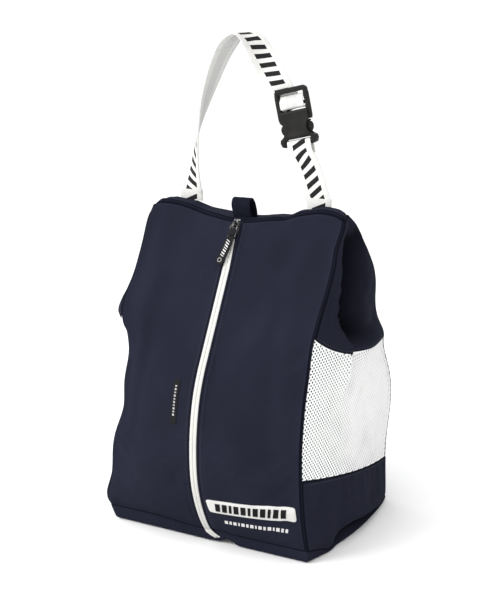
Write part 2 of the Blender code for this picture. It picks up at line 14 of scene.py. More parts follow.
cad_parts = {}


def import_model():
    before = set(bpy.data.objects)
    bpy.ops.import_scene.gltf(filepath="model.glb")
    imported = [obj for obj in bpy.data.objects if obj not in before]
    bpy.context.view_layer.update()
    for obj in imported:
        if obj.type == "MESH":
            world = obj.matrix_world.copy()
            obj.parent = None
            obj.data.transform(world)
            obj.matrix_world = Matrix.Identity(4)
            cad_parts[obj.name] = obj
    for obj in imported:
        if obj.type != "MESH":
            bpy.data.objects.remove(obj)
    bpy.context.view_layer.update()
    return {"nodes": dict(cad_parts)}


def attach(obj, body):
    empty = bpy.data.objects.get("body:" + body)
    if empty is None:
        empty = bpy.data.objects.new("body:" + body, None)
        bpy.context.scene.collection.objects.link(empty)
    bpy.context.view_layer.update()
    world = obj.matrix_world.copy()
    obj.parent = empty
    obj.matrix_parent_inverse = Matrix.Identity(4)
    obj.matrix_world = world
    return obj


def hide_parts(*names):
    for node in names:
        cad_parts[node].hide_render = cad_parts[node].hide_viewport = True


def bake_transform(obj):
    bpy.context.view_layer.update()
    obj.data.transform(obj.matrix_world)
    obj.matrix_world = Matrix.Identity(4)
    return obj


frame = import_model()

MM = 0.001
SHIFT = np.array((0.0, 3.9, 0.0))   # from the millimetre coordinates to the frame's, in mm
SIDES = ((-1, "left"), (1, "right"))

# Camera and light
LENS = 72.0
AZIMUTH = 29.4
ELEVATION = 12.7
TARGET = (-0.0069, 0.0039, 0.2183)
DISTANCE = 1.1903
SHADE_FROM = (0.70, 0.71, 0.0)      # the direction in which the studio's walls are dimmest
WALLS = (1.36, 0.66)                # strength of the brightest and the dimmest wall
BACKDROP = 1.15
WHITE = (1.0, 1.0, 1.0, 1.0)

# Bag body, as in the CAD source
PANEL = 2.5
RIM_Z = 12.0
TOP_Z = 318.0
TOP_SAG = 12.5
SAG_REACH = 86.0
SAG_START_Z = 235.0
BULGE_POWER = 2.2
HALF_WIDTH = ((RIM_Z, 106.5), (45, 106), (90, 105), (150, 103), (200, 104), (250, 105),
              (TOP_Z, 103.5))
SIDE_BULGE = ((RIM_Z, 11), (60, 7), (120, 6), (200, 8), (235, 7), (280, 3), (TOP_Z, 0))
FRONT_EDGE = ((RIM_Z, -94), (36, -100), (90, -104), (108, -103), (130, -99), (175, -89),
              (207, -82), (227, -73), (252, -58), (273, -47), (TOP_Z, -30))
BACK_EDGE = ((RIM_Z, 88), (60, 89), (110, 93), (135, 92), (158, 84), (181, 71), (213, 56),
             (241, 47), (265, 37), (291, 18), (304, 4), (TOP_Z, -7))
BACK_BULGE = ((RIM_Z, 1), (36, 9), (65, 15), (95, 18), (140, 20), (180, 15), (220, 7), (290, 1),
              (TOP_Z, 0))
HEM = (211.0, -90.0, 60.0)          # height along a side seam, as a square curve of 0 to 1
LOWER_SEAM = (83.0, -46.0, 10.0)
# How far the right-hand bottom seam hangs below or above the rim, along Y
UNDER_EDGE = ((-94, 0), (-76, -4), (-58, -8.5), (-47, -4), (-35, 2.2), (-20, 3), (5, -1), (42, -6),
              (70, -9), (88, -8))

# Zip
ZIP_LOW = (-104.0, 172.0)
ZIP_HIGH = (-36.0, 303.0)
ZIP_BELLY = ((RIM_Z, -94.5), (23, -101.5), (38, -109), (65, -117.5), (95, -120), (130, -117),
             (150, -112.5))
ZIP_OPENING = 4.9
RIB_PITCH = 1.15
# Across and out from the zip's line, and how much of the ribs' relief each point takes
ZIP_SECTION = ((0.16, -1.2, 0), (0.16, 0.45, 0), (0.45, 0.80, 1), (1.2, 1.02, 1),
               (2.2, 1.05, 1), (3.1, 0.90, 0.7), (3.9, 0.62, 0.2), (4.2, 0.1, 0),
               (4.2, -1.6, 0), (3.0, -1.6, 0))
ZIP_SLIT = 0.16
ZIP_EDGE = 4.2
ZIP_BORDER = ((0.0, -1.5), (0.0, 0.35), (0.12, 0.62), (0.4, 0.6), (0.75, 0.1), (1.0, -0.9),
              (1.0, -1.6))
# The white narrows towards the closed top and navy tape takes its place: partly the navy flap lying
# over the band, partly painted shade beside the puller.
ZIP_WHITE = 3.75          # half width of the white part, of the same at the closed top, and of
ZIP_WHITE_TOP = 1.9       # its very end
ZIP_WHITE_END = 0.5
TAPE_WIDE = 5.6
PULL_AT = 6.5
PULL_UP = 5.2
PULLER_LEAN = radians(17)
PULLER_LONG = 27.0

# Handle
WEBBING = 25.0
WEBBING_THICK = 1.6
PIVOT_Y = -9.0
PIVOT_Z = 321.0
ROOT_X = (-68.0, 72.5)
BUCKLE_TOP = (40.7, 427.5)
BUCKLE_TILT = radians(12.6)
BAR_PITCH = 0.0095        # the woven bars, in metres along and across the webbing
BAR_SHARE = 0.52
BAR_SLANT = 0.42
BAR_HALF = 0.0070
GROUP_PITCH = 0.0855
GROUP_SHARE = 0.8889
INNER_V = 0.1             # added to V on the webbing's inner face

# Visible detail
ROLL = 1.7                # radius of a panel's rounded edge
TOP_ROLL = 4.0            # the same along the top edges
FRONT_WIDE = 103.0
FRONT_LONG = 330.0
SEAM_IN = 1.9             # how far a welt or the netting's border lies inside the seam line
STITCH_PITCH = 3.1
STITCH_LONG = 2.2
STITCH_HALF = 0.24
STITCH_IN = 3.4           # from the stitches to the front panel's edge, and to a side panel's
STITCH_SIDE_IN = 2.6
METAL_ROUND = 0.35        # rounding of the hard parts' edges
PLASTIC_ROUND = 0.5
TAB_TOP = 326.0           # the handle's sewn ends, and the heights between which they bend
SIDE_LONG = 122.0         # nominal lengths of the upper and the lower side panel, up the seam
LOWER_LONG = 55.0
CELL_WIDE = 4.0           # the mesh fabric's holes, across and up
CELL_HIGH = 2.6
RECESS_TONE = 0.14        # colour left in a fold that hardly any light reaches
CLOTH_CELL = 7            # the cloth simulation's mesh, in mm, and how long it settles
CLOTH_STEPS = 24
WAVES = ((1.0, 0.3, 0.8, 0.4), (-0.6, 0.5, 1.1, 2.1), (0.35, -0.9, 0.5, 4.0), (1.3, 0.8, -0.4, 1.2),
         (0.2, 1.1, 1.4, 5.3))


def in_scene(item):
    bpy.context.scene.collection.objects.link(item)
    return item


# Camera, floor and light


def aimed(item, target, azimuth, elevation, distance):
    """Puts an item at this direction and distance from the target, looking at it."""
    a = radians(azimuth)
    e = radians(elevation)
    away = Vector((sin(a) * cos(e), -cos(a) * cos(e), sin(e)))
    item.location = Vector(target) + away * distance
    item.rotation_euler = away.to_track_quat("Z", "Y").to_euler()
    return in_scene(item)


def area_light(name, azimuth, elevation, distance, size, power):
    """A square soft light, placed by its direction from the bag."""
    made = bpy.data.objects.new(name, bpy.data.lights.new(name, "AREA"))
    made.data.shape = "SQUARE"
    made.data.size = size
    made.data.energy = power
    aimed(made, (0.0, 0.0, 0.2), azimuth, elevation, distance)


def studio():
    """Pale walls, brighter from the left front than from the right, and a white backdrop."""
    made = bpy.data.worlds.new("studio")
    made.use_nodes = True
    sky = made.node_tree
    toward = sky.nodes.new("ShaderNodeTexCoord")
    shade = sky.nodes.new("ShaderNodeVectorMath")
    shade.operation = "DOT_PRODUCT"
    shade.inputs[1].default_value = SHADE_FROM
    fall = sky.nodes.new("ShaderNodeMapRange")
    fall.interpolation_type = "SMOOTHSTEP"
    for key, number in zip(("From Min", "From Max", "To Min", "To Max"), (-0.1, 0.85, *WALLS)):
        fall.inputs[key].default_value = number
    ray = sky.nodes.new("ShaderNodeLightPath")
    seen = sky.nodes.new("ShaderNodeMix")
    seen.inputs[3].default_value = BACKDROP
    sky.links.new(toward.outputs["Generated"], shade.inputs[0])
    sky.links.new(shade.outputs["Value"], fall.inputs["Value"])
    sky.links.new(ray.outputs["Is Camera Ray"], seen.inputs["Factor"])
    sky.links.new(fall.outputs["Result"], seen.inputs[2])
    sky.links.new(seen.outputs[0], sky.nodes["Background"].inputs["Strength"])
    sky.nodes["Background"].inputs["Color"].default_value = WHITE
    bpy.context.scene.world = made


camera = bpy.data.objects.new("camera", bpy.data.cameras.new("camera"))
camera.data.lens = LENS
camera.data.sensor_width = 36.0
camera.data.clip_end = 100.0
bpy.context.scene.camera = aimed(camera, TARGET, AZIMUTH, ELEVATION, DISTANCE)
bpy.context.scene.view_settings.view_transform = "Standard"
studio()
area_light("key_light", -38, 36, 2.3, 1.1, 34)
area_light("top_light", 20, 80, 2.2, 1.6, 8)


# Shape functions, as in the CAD source, for arrays


def smooth_table(points):
    """A smooth curve through (position, value) points, as a function of position."""
    where, value = np.array(points, float).T
    slope = np.gradient(value, where)

    def evaluate(at):
        at = np.clip(np.asarray(at, float), where[0], where[-1])
        i = np.clip(np.searchsorted(where, at, side="right") - 1, 0, len(where) - 2)
        step = where[i + 1] - where[i]
        t = (at - where[i]) / step
        return ((2 * t**3 - 3 * t**2 + 1) * value[i] + (t**3 - 2 * t**2 + t) * step * slope[i]
                + (3 * t**2 - 2 * t**3) * value[i + 1] + (t**3 - t**2) * step * slope[i + 1])

    return evaluate


def zip_line_y(z):
    rate = (ZIP_HIGH[0] - ZIP_LOW[0]) / (ZIP_HIGH[1] - ZIP_LOW[1])
    return ZIP_LOW[0] + rate * (z - ZIP_LOW[1])


STRAIGHT_RUN = tuple((z, zip_line_y(z)) for z in (ZIP_LOW[1], 185.0, 240.0, ZIP_HIGH[1], TOP_Z))

half_width = smooth_table(HALF_WIDTH)
side_bulge = smooth_table(SIDE_BULGE)
front_edge = smooth_table(FRONT_EDGE)
front_middle = smooth_table(ZIP_BELLY + STRAIGHT_RUN)
back_edge = smooth_table(BACK_EDGE)
back_bulge = smooth_table(BACK_BULGE)
under_edge = smooth_table(UNDER_EDGE)


def top_z(x):
    reach = np.minimum(np.abs(x), SAG_REACH)
    return TOP_Z - TOP_SAG * np.cos(0.5 * pi * reach / SAG_REACH) ** 2


def sagged(x, level):
    rise = np.maximum(0.0, (level - SAG_START_Z) / (TOP_Z - SAG_START_Z))
    return level - (TOP_Z - top_z(x)) * rise**1.5


def crown(x, z):
    return 1.0 - np.minimum(1.0, np.abs(x) / half_width(z)) ** BULGE_POWER


def front_y(x, z):
    edge = front_edge(z)
    return edge + (front_middle(z) - edge) * crown(x, z)


def back_y(x, z):
    return back_edge(z) + back_bulge(z) * crown(x, z)


def side_x(t, z):
    return half_width(z) + side_bulge(z) * (1.0 - (2.0 * t - 1.0) ** 2)


def side_y(t, z, inset=0.0):
    """Y at a share t of the way from the front seam to the back seam."""
    front = front_edge(z) + inset
    return front + (back_edge(z) - inset - front) * t


def seam_height(curve):
    return lambda t: curve[0] + curve[1] * t + curve[2] * t * t


hem_z = seam_height(HEM)
lower_seam_z = seam_height(LOWER_SEAM)
rim = seam_height((RIM_Z, 0, 0))
crest = seam_height((TOP_Z, 0, 0))


def hill(distance, reach):
    """A smooth bump of height 1 that has faded out at about twice its reach."""
    return np.exp(-((distance / reach) ** 2))


def ramp(value, start, end):
    """0 before start, 1 after end, smooth between them."""
    t = np.clip((np.asarray(value, float) - start) / (end - start), 0.0, 1.0)
    return t * t * (3 - 2 * t)


def ridge_line(z):
    """Y of the fold that runs down the upper gusset."""
    return -26.0 - 0.29 * (309.0 - z) + 40.0 * ramp(232 - z, 0, 50) ** 1.3


def warp(points):
    """How the soft body leans and folds away from its plain shape, in millimetres."""
    x, y, z = np.moveaxis(np.array(points, float), -1, 0)
    new_x, new_y, new_z = x.copy(), y.copy(), z.copy()
    right = ramp(x, 55, 100)
    left = ramp(-x, 55, 100)
    # Upper right side: a soft ridge runs down the gusset into the mesh, hollow behind it.
    on_ridge = ramp(z, 318, 262) * ramp(z, 118, 190)
    behind = np.maximum(y - ridge_line(z), 0.0)
    before = np.minimum(y - ridge_line(z), 0.0)
    new_x += right * 6.0 * np.exp(before / 14.0) * np.exp(-behind / 16.0) * on_ridge
    hollow = (1.0 - np.exp(-behind / 7.0)) * (1.0 - ramp(behind, 14, 66))
    new_x -= right * 20.0 * hollow * on_ridge * ramp(z, 160, 205)
    # Rear right side: swells at the hem, at the top and behind the netting.
    rear = right * ramp(y, -5, 30)
    new_x += rear * (5.0 * hill(z - 186, 14) + 3.0 * hill(z - 250, 22))
    new_x += right * 5.0 * hill(z - 300, 14) * ramp(y, -30, -8)
    new_x += right * 5.0 * hill(z - 122, 42) * ramp(y, 30, 80)
    new_y += rear * 2.0 * hill(z - 238, 42)
    # Left side: the seam is drawn in between the hem and the lower seam, and flares at the hem.
    new_x += left * 10.0 * hill(y + 94, 30) * hill(z - 176, 30)
    new_x += left * 10.0 * hill(y + 98, 30) * hill(z - 122, 26)
    new_x -= left * 14.5 * hill(y + 58, 20) * hill(z - 206, 21) * ramp(z, 193, 201)
    # Bottom right: the edge lifts behind the front corner, over a crease.
    new_z += right * under_edge(y) * np.where(z < RIM_Z, z / RIM_Z, 1 - ramp(z, RIM_Z, 46))
    along_side = ramp(y, -54, -36) * ramp(-y, -78, -30)
    new_x -= right * 9.0 * hill(z - 8.0, 4.0) * along_side
    new_x += right * 2.0 * hill(z - 17, 6) * along_side
    new_x -= right * 3.5 * hill(z - 16, 12) * hill(y + 44, 9)
    # Bottom left: the corner above the base swells out.
    swell = np.where(z > 20, hill(z - 20, 24), hill(z - 20, 14))
    new_x -= left * 13.0 * swell * hill(y + 84, 34)
    new_z += 2.6 * hill(z - 12, 8) * ramp(-x, 8, 60) * ramp(-y, 40, 80)
    # The zip draws the bottom seam up a little and runs to the right where it passes under.
    new_z += 4.5 * hill(x - 12, 11) * hill(y + 92, 18) * ramp(16 - z, 0, 8)
    new_x += 12.0 * ramp(14 - z, 0, 12) ** 1.4 * hill(x, 26) * ramp(-y, 62, 88)
    # Top edge: rounded corners, and shallow tucks left and right of the zip.
    new_z -= (3.5 + 1.5 * (x < 0)) * ramp(np.abs(x), 86, 106) ** 2 * ramp(z, 286, 318)
    new_x += 6.5 * ramp(x, 84, 106) * ramp(z, 280, 310) * ramp(-y, 14, 27)
    new_x += 2.5 * ramp(-x, 84, 106) * ramp(z, 296, 318)
    corner = ramp(np.abs(x), 95, 105) * ramp(z, 304, 318)
    new_z -= 3.0 * corner
    new_x -= np.sign(x) * 2.5 * corner * ramp(y, -22, -8)
    up = ramp(z, 292, 314)
    new_y += up * 2.4 * hill(x + 46, 9) * hill(y + 28, 16)
    new_z -= up * 1.6 * hill(x + 44, 12)
    new_y += up * 2.8 * hill(x - 44, 8) * hill(y + 28, 16)
    new_z -= up * 2.6 * hill(x - 46, 10)
    new_z += up * 1.5 * hill(x - 84, 12)
    return np.stack((new_x, new_y, new_z), axis=-1)


def recess(points):
    """0 to 1: how much painted shade a point takes, by how deep it lies in the folds where hardly any
    light reaches.
    """
    x, y, z = np.moveaxis(points, -1, 0)
    behind = y - ridge_line(z)
    upper = ramp(behind, 0, 5) * (1 - ramp(behind, 24, 74)) * ramp(z, 312, 286) * ramp(z, 182, 200)
    lower = hill(z - 9.0, 2.6) * ramp(y, -54, -40) * ramp(-y, -84, -36)
    return np.clip(ramp(x, 60, 96) * (upper + lower), 0, 1)


def world(points):
    return (np.asarray(points, float) + SHIFT) * MM


# Materials


def shaded(colour, factor):
    return tuple(factor * c for c in colour)


class Look:
    """Builds one node material, step by step."""

    def __init__(self, name, roughness=0.8, specular=0.3, **sockets):
        self.material = bpy.data.materials.new(name)
        self.material.use_nodes = True
        self.tree = self.material.node_tree
        self.shader = self.tree.nodes["Principled BSDF"]
        self.shader.inputs["Roughness"].default_value = roughness
        self.shader.inputs["Specular IOR Level"].default_value = specular
        for key, value in sockets.items():
            self.shader.inputs[key.replace("_", " ")].default_value = value

    def node(self, kind, **settings):
        made = self.tree.nodes.new("ShaderNode" + kind)
        for key, value in settings.items():
            setattr(made, key, value)
        return made

    def link(self, source, target):
        self.tree.links.new(source, target)

    def maths(self, kind, a, b=None):
        made = self.node("Math", operation=kind)
        for i, value in enumerate((a, b)):
            if isinstance(value, (int, float)):
                made.inputs[i].default_value = value
            elif value is not None:
                self.link(value, made.inputs[i])
        return made.outputs[0]

    def times(self, a, b):
        return self.maths("MULTIPLY", a, b)

    def near(self, value, middle, reach):
        """1 where the value lies within reach of the middle, else 0."""
        off = self.maths("SUBTRACT", value, middle) if middle else value
        return self.maths("LESS_THAN", self.maths("ABSOLUTE", off), reach)

    def repeat(self, value, pitch, share):
        """1 over a share of each pitch, else 0."""
        return self.maths("LESS_THAN", self.maths("FRACT", self.maths("DIVIDE", value, pitch)), share)

    def place(self, kind="Object"):
        return self.node("TexCoord").outputs[kind]

    def attribute(self, name):
        return self.node("Attribute", attribute_name=name).outputs["Fac"]

    def split_uv(self, vector):
        split = self.node("SeparateXYZ")
        self.link(vector, split.inputs[0])
        return split.outputs[0], split.outputs[1]

    def noise(self, scale, detail=2.0, vector=None, stretch=None):
        vector = vector or self.place()
        if stretch:
            mapping = self.node("Mapping")
            mapping.inputs["Scale"].default_value = stretch
            self.link(vector, mapping.inputs["Vector"])
            vector = mapping.outputs[0]
        made = self.node("TexNoise")
        made.inputs["Scale"].default_value = scale
        made.inputs["Detail"].default_value = detail
        self.link(vector, made.inputs["Vector"])
        return made.outputs["Fac"]

    def between(self, factor, low, high):
        """A colour that runs from low to high with the factor."""
        made = self.node("Mix", data_type="RGBA")
        self.link(factor, made.inputs["Factor"])
        sockets = [s for s in made.inputs if s.type == "RGBA"]
        for target, value in zip(sockets, (low, high)):
            if isinstance(value, tuple):
                target.default_value = (*value, 1.0)
            else:
                self.link(value, target)
        return [s for s in made.outputs if s.type == "RGBA"][0]

    def levels(self, value, low, high, out_low=0.0, out_high=1.0):
        made = self.node("MapRange")
        for key, number in (("From Min", low), ("From Max", high), ("To Min", out_low),
                            ("To Max", out_high)):
            made.inputs[key].default_value = number
        self.link(value, made.inputs["Value"])
        return made.outputs["Result"]

    def weave(self, pitch, vector):
        """0 to 1 height of a plain weave with this thread pitch, in metres."""
        a, b = [self.maths("SINE", self.times(way, 2 * pi / pitch)) for way in self.split_uv(vector)]
        return self.levels(self.times(a, b), -1.0, 1.0)

    def colour(self, value):
        self.link(value, self.shader.inputs["Base Color"])

    def rough(self, value, low, high):
        self.link(self.levels(value, 0.25, 0.75, low, high), self.shader.inputs["Roughness"])

    def bump(self, height, strength, distance):
        made = self.node("Bump")
        made.inputs["Strength"].default_value = strength
        made.inputs["Distance"].default_value = distance
        self.link(height, made.inputs["Height"])
        normal = self.shader.inputs["Normal"]
        if normal.is_linked:
            self.link(normal.links[0].from_socket, made.inputs["Normal"])
        self.link(made.outputs[0], normal)


def fabric_look(name, dark, light, pitch=0.0009, sheen=0.01, seam=True):
    """Woven cloth: thread-scale weave, slubs, broad mottling, painted shade in the seam grooves with
    paler rolled edges, and painted shade in deep folds.
    """
    look = Look(name, 0.86, 0.02, Sheen_Weight=sheen, Sheen_Roughness=0.55,
                Sheen_Tint=(0.62, 0.68, 0.95, 1.0))
    flat = look.place("UV")
    weave = look.weave(pitch, flat)
    slub = look.noise(1.0, 3.0, flat, (2600.0, 420.0, 1.0))
    cloud = look.noise(16.0, 4.0)
    thread = look.maths("ADD", look.times(weave, 0.45), look.times(slub, 0.55))
    tone = look.maths("ADD", look.times(thread, 0.55), look.times(cloud, 0.45))
    base = look.between(look.levels(tone, 0.25, 0.75), dark, light)
    if seam:
        # Painted shade: the edge attribute darkens the cloth where its rolled border turns into the
        # seam groove; a paler band runs along the roll beside it.
        edge = look.attribute("edge")
        base = look.between(look.levels(edge, 0.55, 1.0), base, shaded(dark, 0.45))
        off = look.maths("ABSOLUTE", look.maths("SUBTRACT", edge, 0.35))
        base = look.between(look.levels(off, 0.18, 0.0, 0.0, 0.35), base, shaded(light, 1.25))
    # Painted shade: the hollow attribute darkens the cloth towards RECESS_TONE in deep folds and
    # under the right gusset's lower edge.
    base = look.between(look.attribute("hollow"), base, shaded(dark, RECESS_TONE))
    look.colour(base)
    look.rough(cloud, 0.80, 0.93)
    look.bump(weave, 0.35, 0.00022)
    look.bump(slub, 0.35 * 0.6, 0.00012)
    return look.material


def lining_with_painted_shade():
    """Pale cloth that darkens with the edge attribute: painted shade where nothing white lies behind
    it and the bag's inside is dark.
    """
    look = Look("lining_with_painted_shade", 0.9, 0.1)
    depth = look.attribute("edge")
    cloud = look.noise(55.0, 3.0)
    weave = look.weave(0.0011, look.place("UV"))
    mixed = look.maths("ADD", depth, look.levels(cloud, 0.3, 0.7, -0.22, 0.22))
    pale = look.between(weave, (0.74, 0.74, 0.75), (0.84, 0.84, 0.84))
    look.colour(look.between(look.levels(mixed, 0.0, 1.0), pale, (0.014, 0.015, 0.024)))
    look.rough(cloud, 0.82, 0.95)
    look.bump(weave, 0.3, 0.0002)
    return look.material


def white_netting():
    look = Look("white_netting", 0.75, 0.25, Sheen_Weight=0.1, Sheen_Roughness=0.5)
    fine = look.noise(900.0, 2.0)
    cloud = look.noise(22.0, 3.0)
    look.colour(look.between(look.levels(cloud, 0.3, 0.7), (0.90, 0.90, 0.90), (0.96, 0.96, 0.96)))
    look.rough(fine, 0.66, 0.85)
    look.bump(fine, 0.25, 0.0001)
    return look.material


def thread_look(name, colour):
    look = Look(name, 0.6, 0.25)
    twist = look.noise(1400.0, 1.0)
    look.colour(look.between(twist, shaded(colour, 0.75), colour))
    look.rough(twist, 0.5, 0.75)
    look.bump(twist, 0.4, 0.0001)
    return look.material


def webbing_look(name, pale, mark=None):
    """Flat woven webbing. UV is in metres along and across; the inner face's V is higher."""
    look = Look(name, 0.78, 0.1, Sheen_Weight=0.02, Sheen_Roughness=0.5)
    flat = look.place("UV")
    along, across = look.split_uv(flat)
    weave = look.weave(0.0011, flat)
    cross = look.levels(look.maths("SINE", look.times(along, 2 * pi / 0.0015)), -1.0, 1.0)
    cloud = look.noise(60.0, 3.0)
    tone = look.maths("ADD", look.times(cross, 0.5), cloud)
    base = look.between(look.levels(tone, 0.3, 1.2), shaded(pale, 0.86), pale)
    if mark:
        # Slanted bars in groups, woven dark into the middle of the outer face, and a faint
        # band of their threads on the inner one.
        slant = look.maths("SUBTRACT", along, look.times(across, BAR_SLANT))
        bar = look.repeat(slant, BAR_PITCH, BAR_SHARE)
        group = look.repeat(slant, GROUP_PITCH, GROUP_SHARE)
        middle = look.near(across, 0.0, BAR_HALF)
        ink = look.times(look.times(bar, group), middle)
        base = look.between(look.times(ink, 0.99), base, mark)
        inner = look.near(across, INNER_V, 0.0058)
        base = look.between(look.times(inner, 0.30), base, (0.30, 0.30, 0.31))
    look.colour(base)
    look.rough(cloud, 0.62, 0.82)
    look.bump(weave, 0.4, 0.0003)
    look.bump(cross, 0.3, 0.0002)
    return look.material


def metal_look():
    look = Look("brushed_gunmetal", 0.3, 0.5, Metallic=1.0)
    brushed = look.noise(260.0, 3.0, stretch=(1.0, 1.0, 14.0))
    wear = look.levels(look.noise(180.0, 4.0), 0.45, 0.7)
    look.colour(look.between(wear, (0.035, 0.035, 0.036), (0.14, 0.14, 0.135)))
    look.rough(brushed, 0.28, 0.5)
    look.bump(brushed, 0.12, 0.00006)
    return look.material


def plastic_look(name, dark, light, roughness=(0.38, 0.55), specular=0.14):
    """Moulded plastic or rubber with a fine spark texture and slight rubbing marks."""
    look = Look(name, roughness[0], specular)
    fine = look.noise(1500.0, 2.0)
    wear = look.noise(70.0, 4.0)
    look.colour(look.between(look.levels(wear, 0.35, 0.75), dark, light))
    look.rough(wear, *roughness)
    look.bump(fine, 0.3, 0.00008)
    return look.material


NAVY_DARK = (0.0084, 0.0091, 0.0164)
NAVY_LIGHT = (0.0178, 0.0191, 0.0322)
navy_look = fabric_look("navy_cloth", NAVY_DARK, NAVY_LIGHT)
binding_look = fabric_look("navy_binding", shaded(NAVY_DARK, 0.8), NAVY_DARK, 0.0012, seam=False)
lining_painted_shade_look = lining_with_painted_shade()
netting = white_netting()
navy_thread = thread_look("navy_thread", (0.024, 0.027, 0.045))
zip_look = webbing_look("white_zip_band", (0.60, 0.595, 0.57))
strap_look = webbing_look("white_webbing_barred", (0.68, 0.675, 0.655), (0.007, 0.007, 0.008))
metal = metal_look()
black_plastic = plastic_look("black_moulding", (0.0075, 0.0072, 0.0066), (0.014, 0.0136, 0.0126))
patch_look = plastic_look("white_rubber", (0.52, 0.515, 0.50), (0.60, 0.595, 0.58), (0.45, 0.6))
black_ink = plastic_look("black_rubber", (0.006, 0.006, 0.007), (0.012, 0.012, 0.013),
                         (0.6, 0.75), 0.06)
white_ink = plastic_look("white_print", (0.52, 0.52, 0.51), (0.62, 0.62, 0.61), (0.5, 0.7))
grey_ink = plastic_look("grey_print", (0.30, 0.30, 0.31), (0.42, 0.42, 0.43), (0.5, 0.7))
tape_look = fabric_look("black_tape_weave", (0.010, 0.010, 0.011), (0.019, 0.019, 0.021), 0.0010,
                        0.02, seam=False)


# Mesh making


def new_piece(name, points, faces, look, body, slot, uv=None, nodes=(), smooth=True, **marks):
    """A mesh piece from points in mm, which stands for the nodes; uv and marks are per point."""
    mesh = bpy.data.meshes.new(name)
    mesh.from_pydata(world(points).reshape(-1, 3).tolist(), [], faces)
    mesh.materials.append(look)
    if uv is not None:
        layer = mesh.uv_layers.new(name="flat")
        corner = np.empty(len(mesh.loops), int)
        mesh.loops.foreach_get("vertex_index", corner)
        layer.data.foreach_set("uv", np.asarray(uv, float).reshape(-1, 2)[corner].ravel())
    for key, values in marks.items():
        mark = mesh.attributes.new(key, "FLOAT", "POINT")
        mark.data.foreach_set("value", np.asarray(values, np.float32).ravel())
    made = bmesh.new()
    made.from_mesh(mesh)
    bmesh.ops.recalc_face_normals(made, faces=made.faces)
    made.to_mesh(mesh)
    made.free()
    if smooth:
        mesh.shade_smooth()
        mesh.set_sharp_from_angle(angle=radians(48))
    item = in_scene(bpy.data.objects.new(name, mesh))
    if body:
        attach(item, body)
    if nodes:
        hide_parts(*nodes)
    return item


def grid_faces(rows, cols):
    return [(a, a + 1, a + cols + 1, a + cols)
            for r in range(rows - 1) for a in range(r * cols, r * cols + cols - 1)]


def shell_faces(rows, cols):
    """Faces of a closed sheet between two grids that are stored one after the other."""
    count = rows * cols
    faces = []
    for a, b, c, d in grid_faces(rows, cols):
        faces += [(a, b, c, d), (count + d, count + c, count + b, count + a)]
    rim = list(range(cols))
    rim += [r * cols + cols - 1 for r in range(1, rows)]
    rim += [(rows - 1) * cols + c for c in range(cols - 2, -1, -1)]
    rim += [r * cols for r in range(rows - 2, 0, -1)]
    return faces + [(b, a, count + a, count + b) for a, b in zip(rim, rim[1:] + rim[:1])]


def tube_faces(rings, count, closed=False):
    faces = []
    if not closed:
        faces = [tuple(range(count)), tuple(reversed(range((rings - 1) * count, rings * count)))]
    for r in range(rings if closed else rings - 1):
        low = r * count
        high = ((r + 1) % rings) * count
        for i in range(count):
            j = (i + 1) % count
            faces.append((low + i, high + i, high + j, low + j))
    return faces


def ring_piece(name, rings, look, body, slot, uv=None, nodes=()):
    """A closed piece skinned over rings of equally many points."""
    rings = np.array(rings)
    return new_piece(name, rings, tube_faces(*rings.shape[:2]), look, body, slot, uv, nodes)


def sheet_piece(name, outer, inner, look, slot, uv, nodes=(), **marks):
    """A closed sheet of the bag between two grids of points, which share uv and marks."""
    marks = {key: np.concatenate((value, value)) for key, value in marks.items()}
    return new_piece(name, np.concatenate((outer, inner)), shell_faces(*outer.shape[:2]), look,
                     "bag", slot, np.concatenate((uv, uv)), nodes, **marks)


def front_piece(name, made, look, slot, nodes=(), body="bag", smooth=True):
    """A piece from (points, faces) whose UV is its X and Z."""
    points, faces = made
    return new_piece(name, points, faces, look, body, slot, points[:, [0, 2]] * MM, nodes, smooth)


def joined(parts):
    points = []
    faces = []
    start = 0
    for p, f in parts:
        points.append(np.asarray(p, float).reshape(-1, 3))
        faces += [tuple(i + start for i in face) for face in f]
        start += len(points[-1])
    return np.concatenate(points), faces


def unit(vectors):
    return vectors / np.maximum(np.linalg.norm(vectors, axis=-1, keepdims=True), 1e-9)


def run_along(points):
    """Distance along a line of points, from its first one."""
    return np.concatenate(([0.0], np.cumsum(np.linalg.norm(np.diff(points, axis=0), axis=1))))


def four_way(a, b, c, d, s, t):
    """Between four corner values: a to b with s where t is 0, d to c where t is 1."""
    return (a * (1 - s) + b * s) * (1 - t) + (d * (1 - s) + c * s) * t


def on_grid(grid, i, j, s, t):
    return four_way(grid[j, i], grid[j, i + 1], grid[j + 1, i + 1], grid[j + 1, i], s, t)


def normals_of(grid, outward):
    """Unit normals of a grid of points, on the side that outward points to."""
    n = unit(np.cross(np.gradient(grid, axis=1), np.gradient(grid, axis=0)))
    return -n if np.sum(n * outward) < 0 else n


def run_lengths(grid, axis):
    steps = np.linalg.norm(np.diff(grid, axis=axis), axis=-1)
    pad = [(0, 0), (0, 0)]
    pad[axis] = (1, 0)
    return np.pad(np.cumsum(steps, axis=axis), pad)


def stations(length, step, inset_low, inset_high):
    """Parameters from 0 to 1 along a length in mm, closer together near both ends."""
    near = [0.0, 0.35, 0.8, 1.3, 2.0, 3.2]
    low = [inset_low + n for n in near]
    high = [length - inset_high - n for n in reversed(near)]
    count = max(2, int((high[0] - low[-1]) / step))
    middle = np.linspace(low[-1], high[0], count + 1)[1:-1]
    return np.concatenate((low, middle, high)) / length


def ripple(p, scale):
    """Small slanting wrinkles: a sum of a few long waves, from -1 to 1."""
    total = np.zeros(p.shape[:-1])
    for ax, ay, az, phase in WAVES:
        total += np.sin((p[..., 0] * ax + p[..., 1] * ay + p[..., 2] * az) / scale + phase)
    return total / len(WAVES)


PANELS = {}


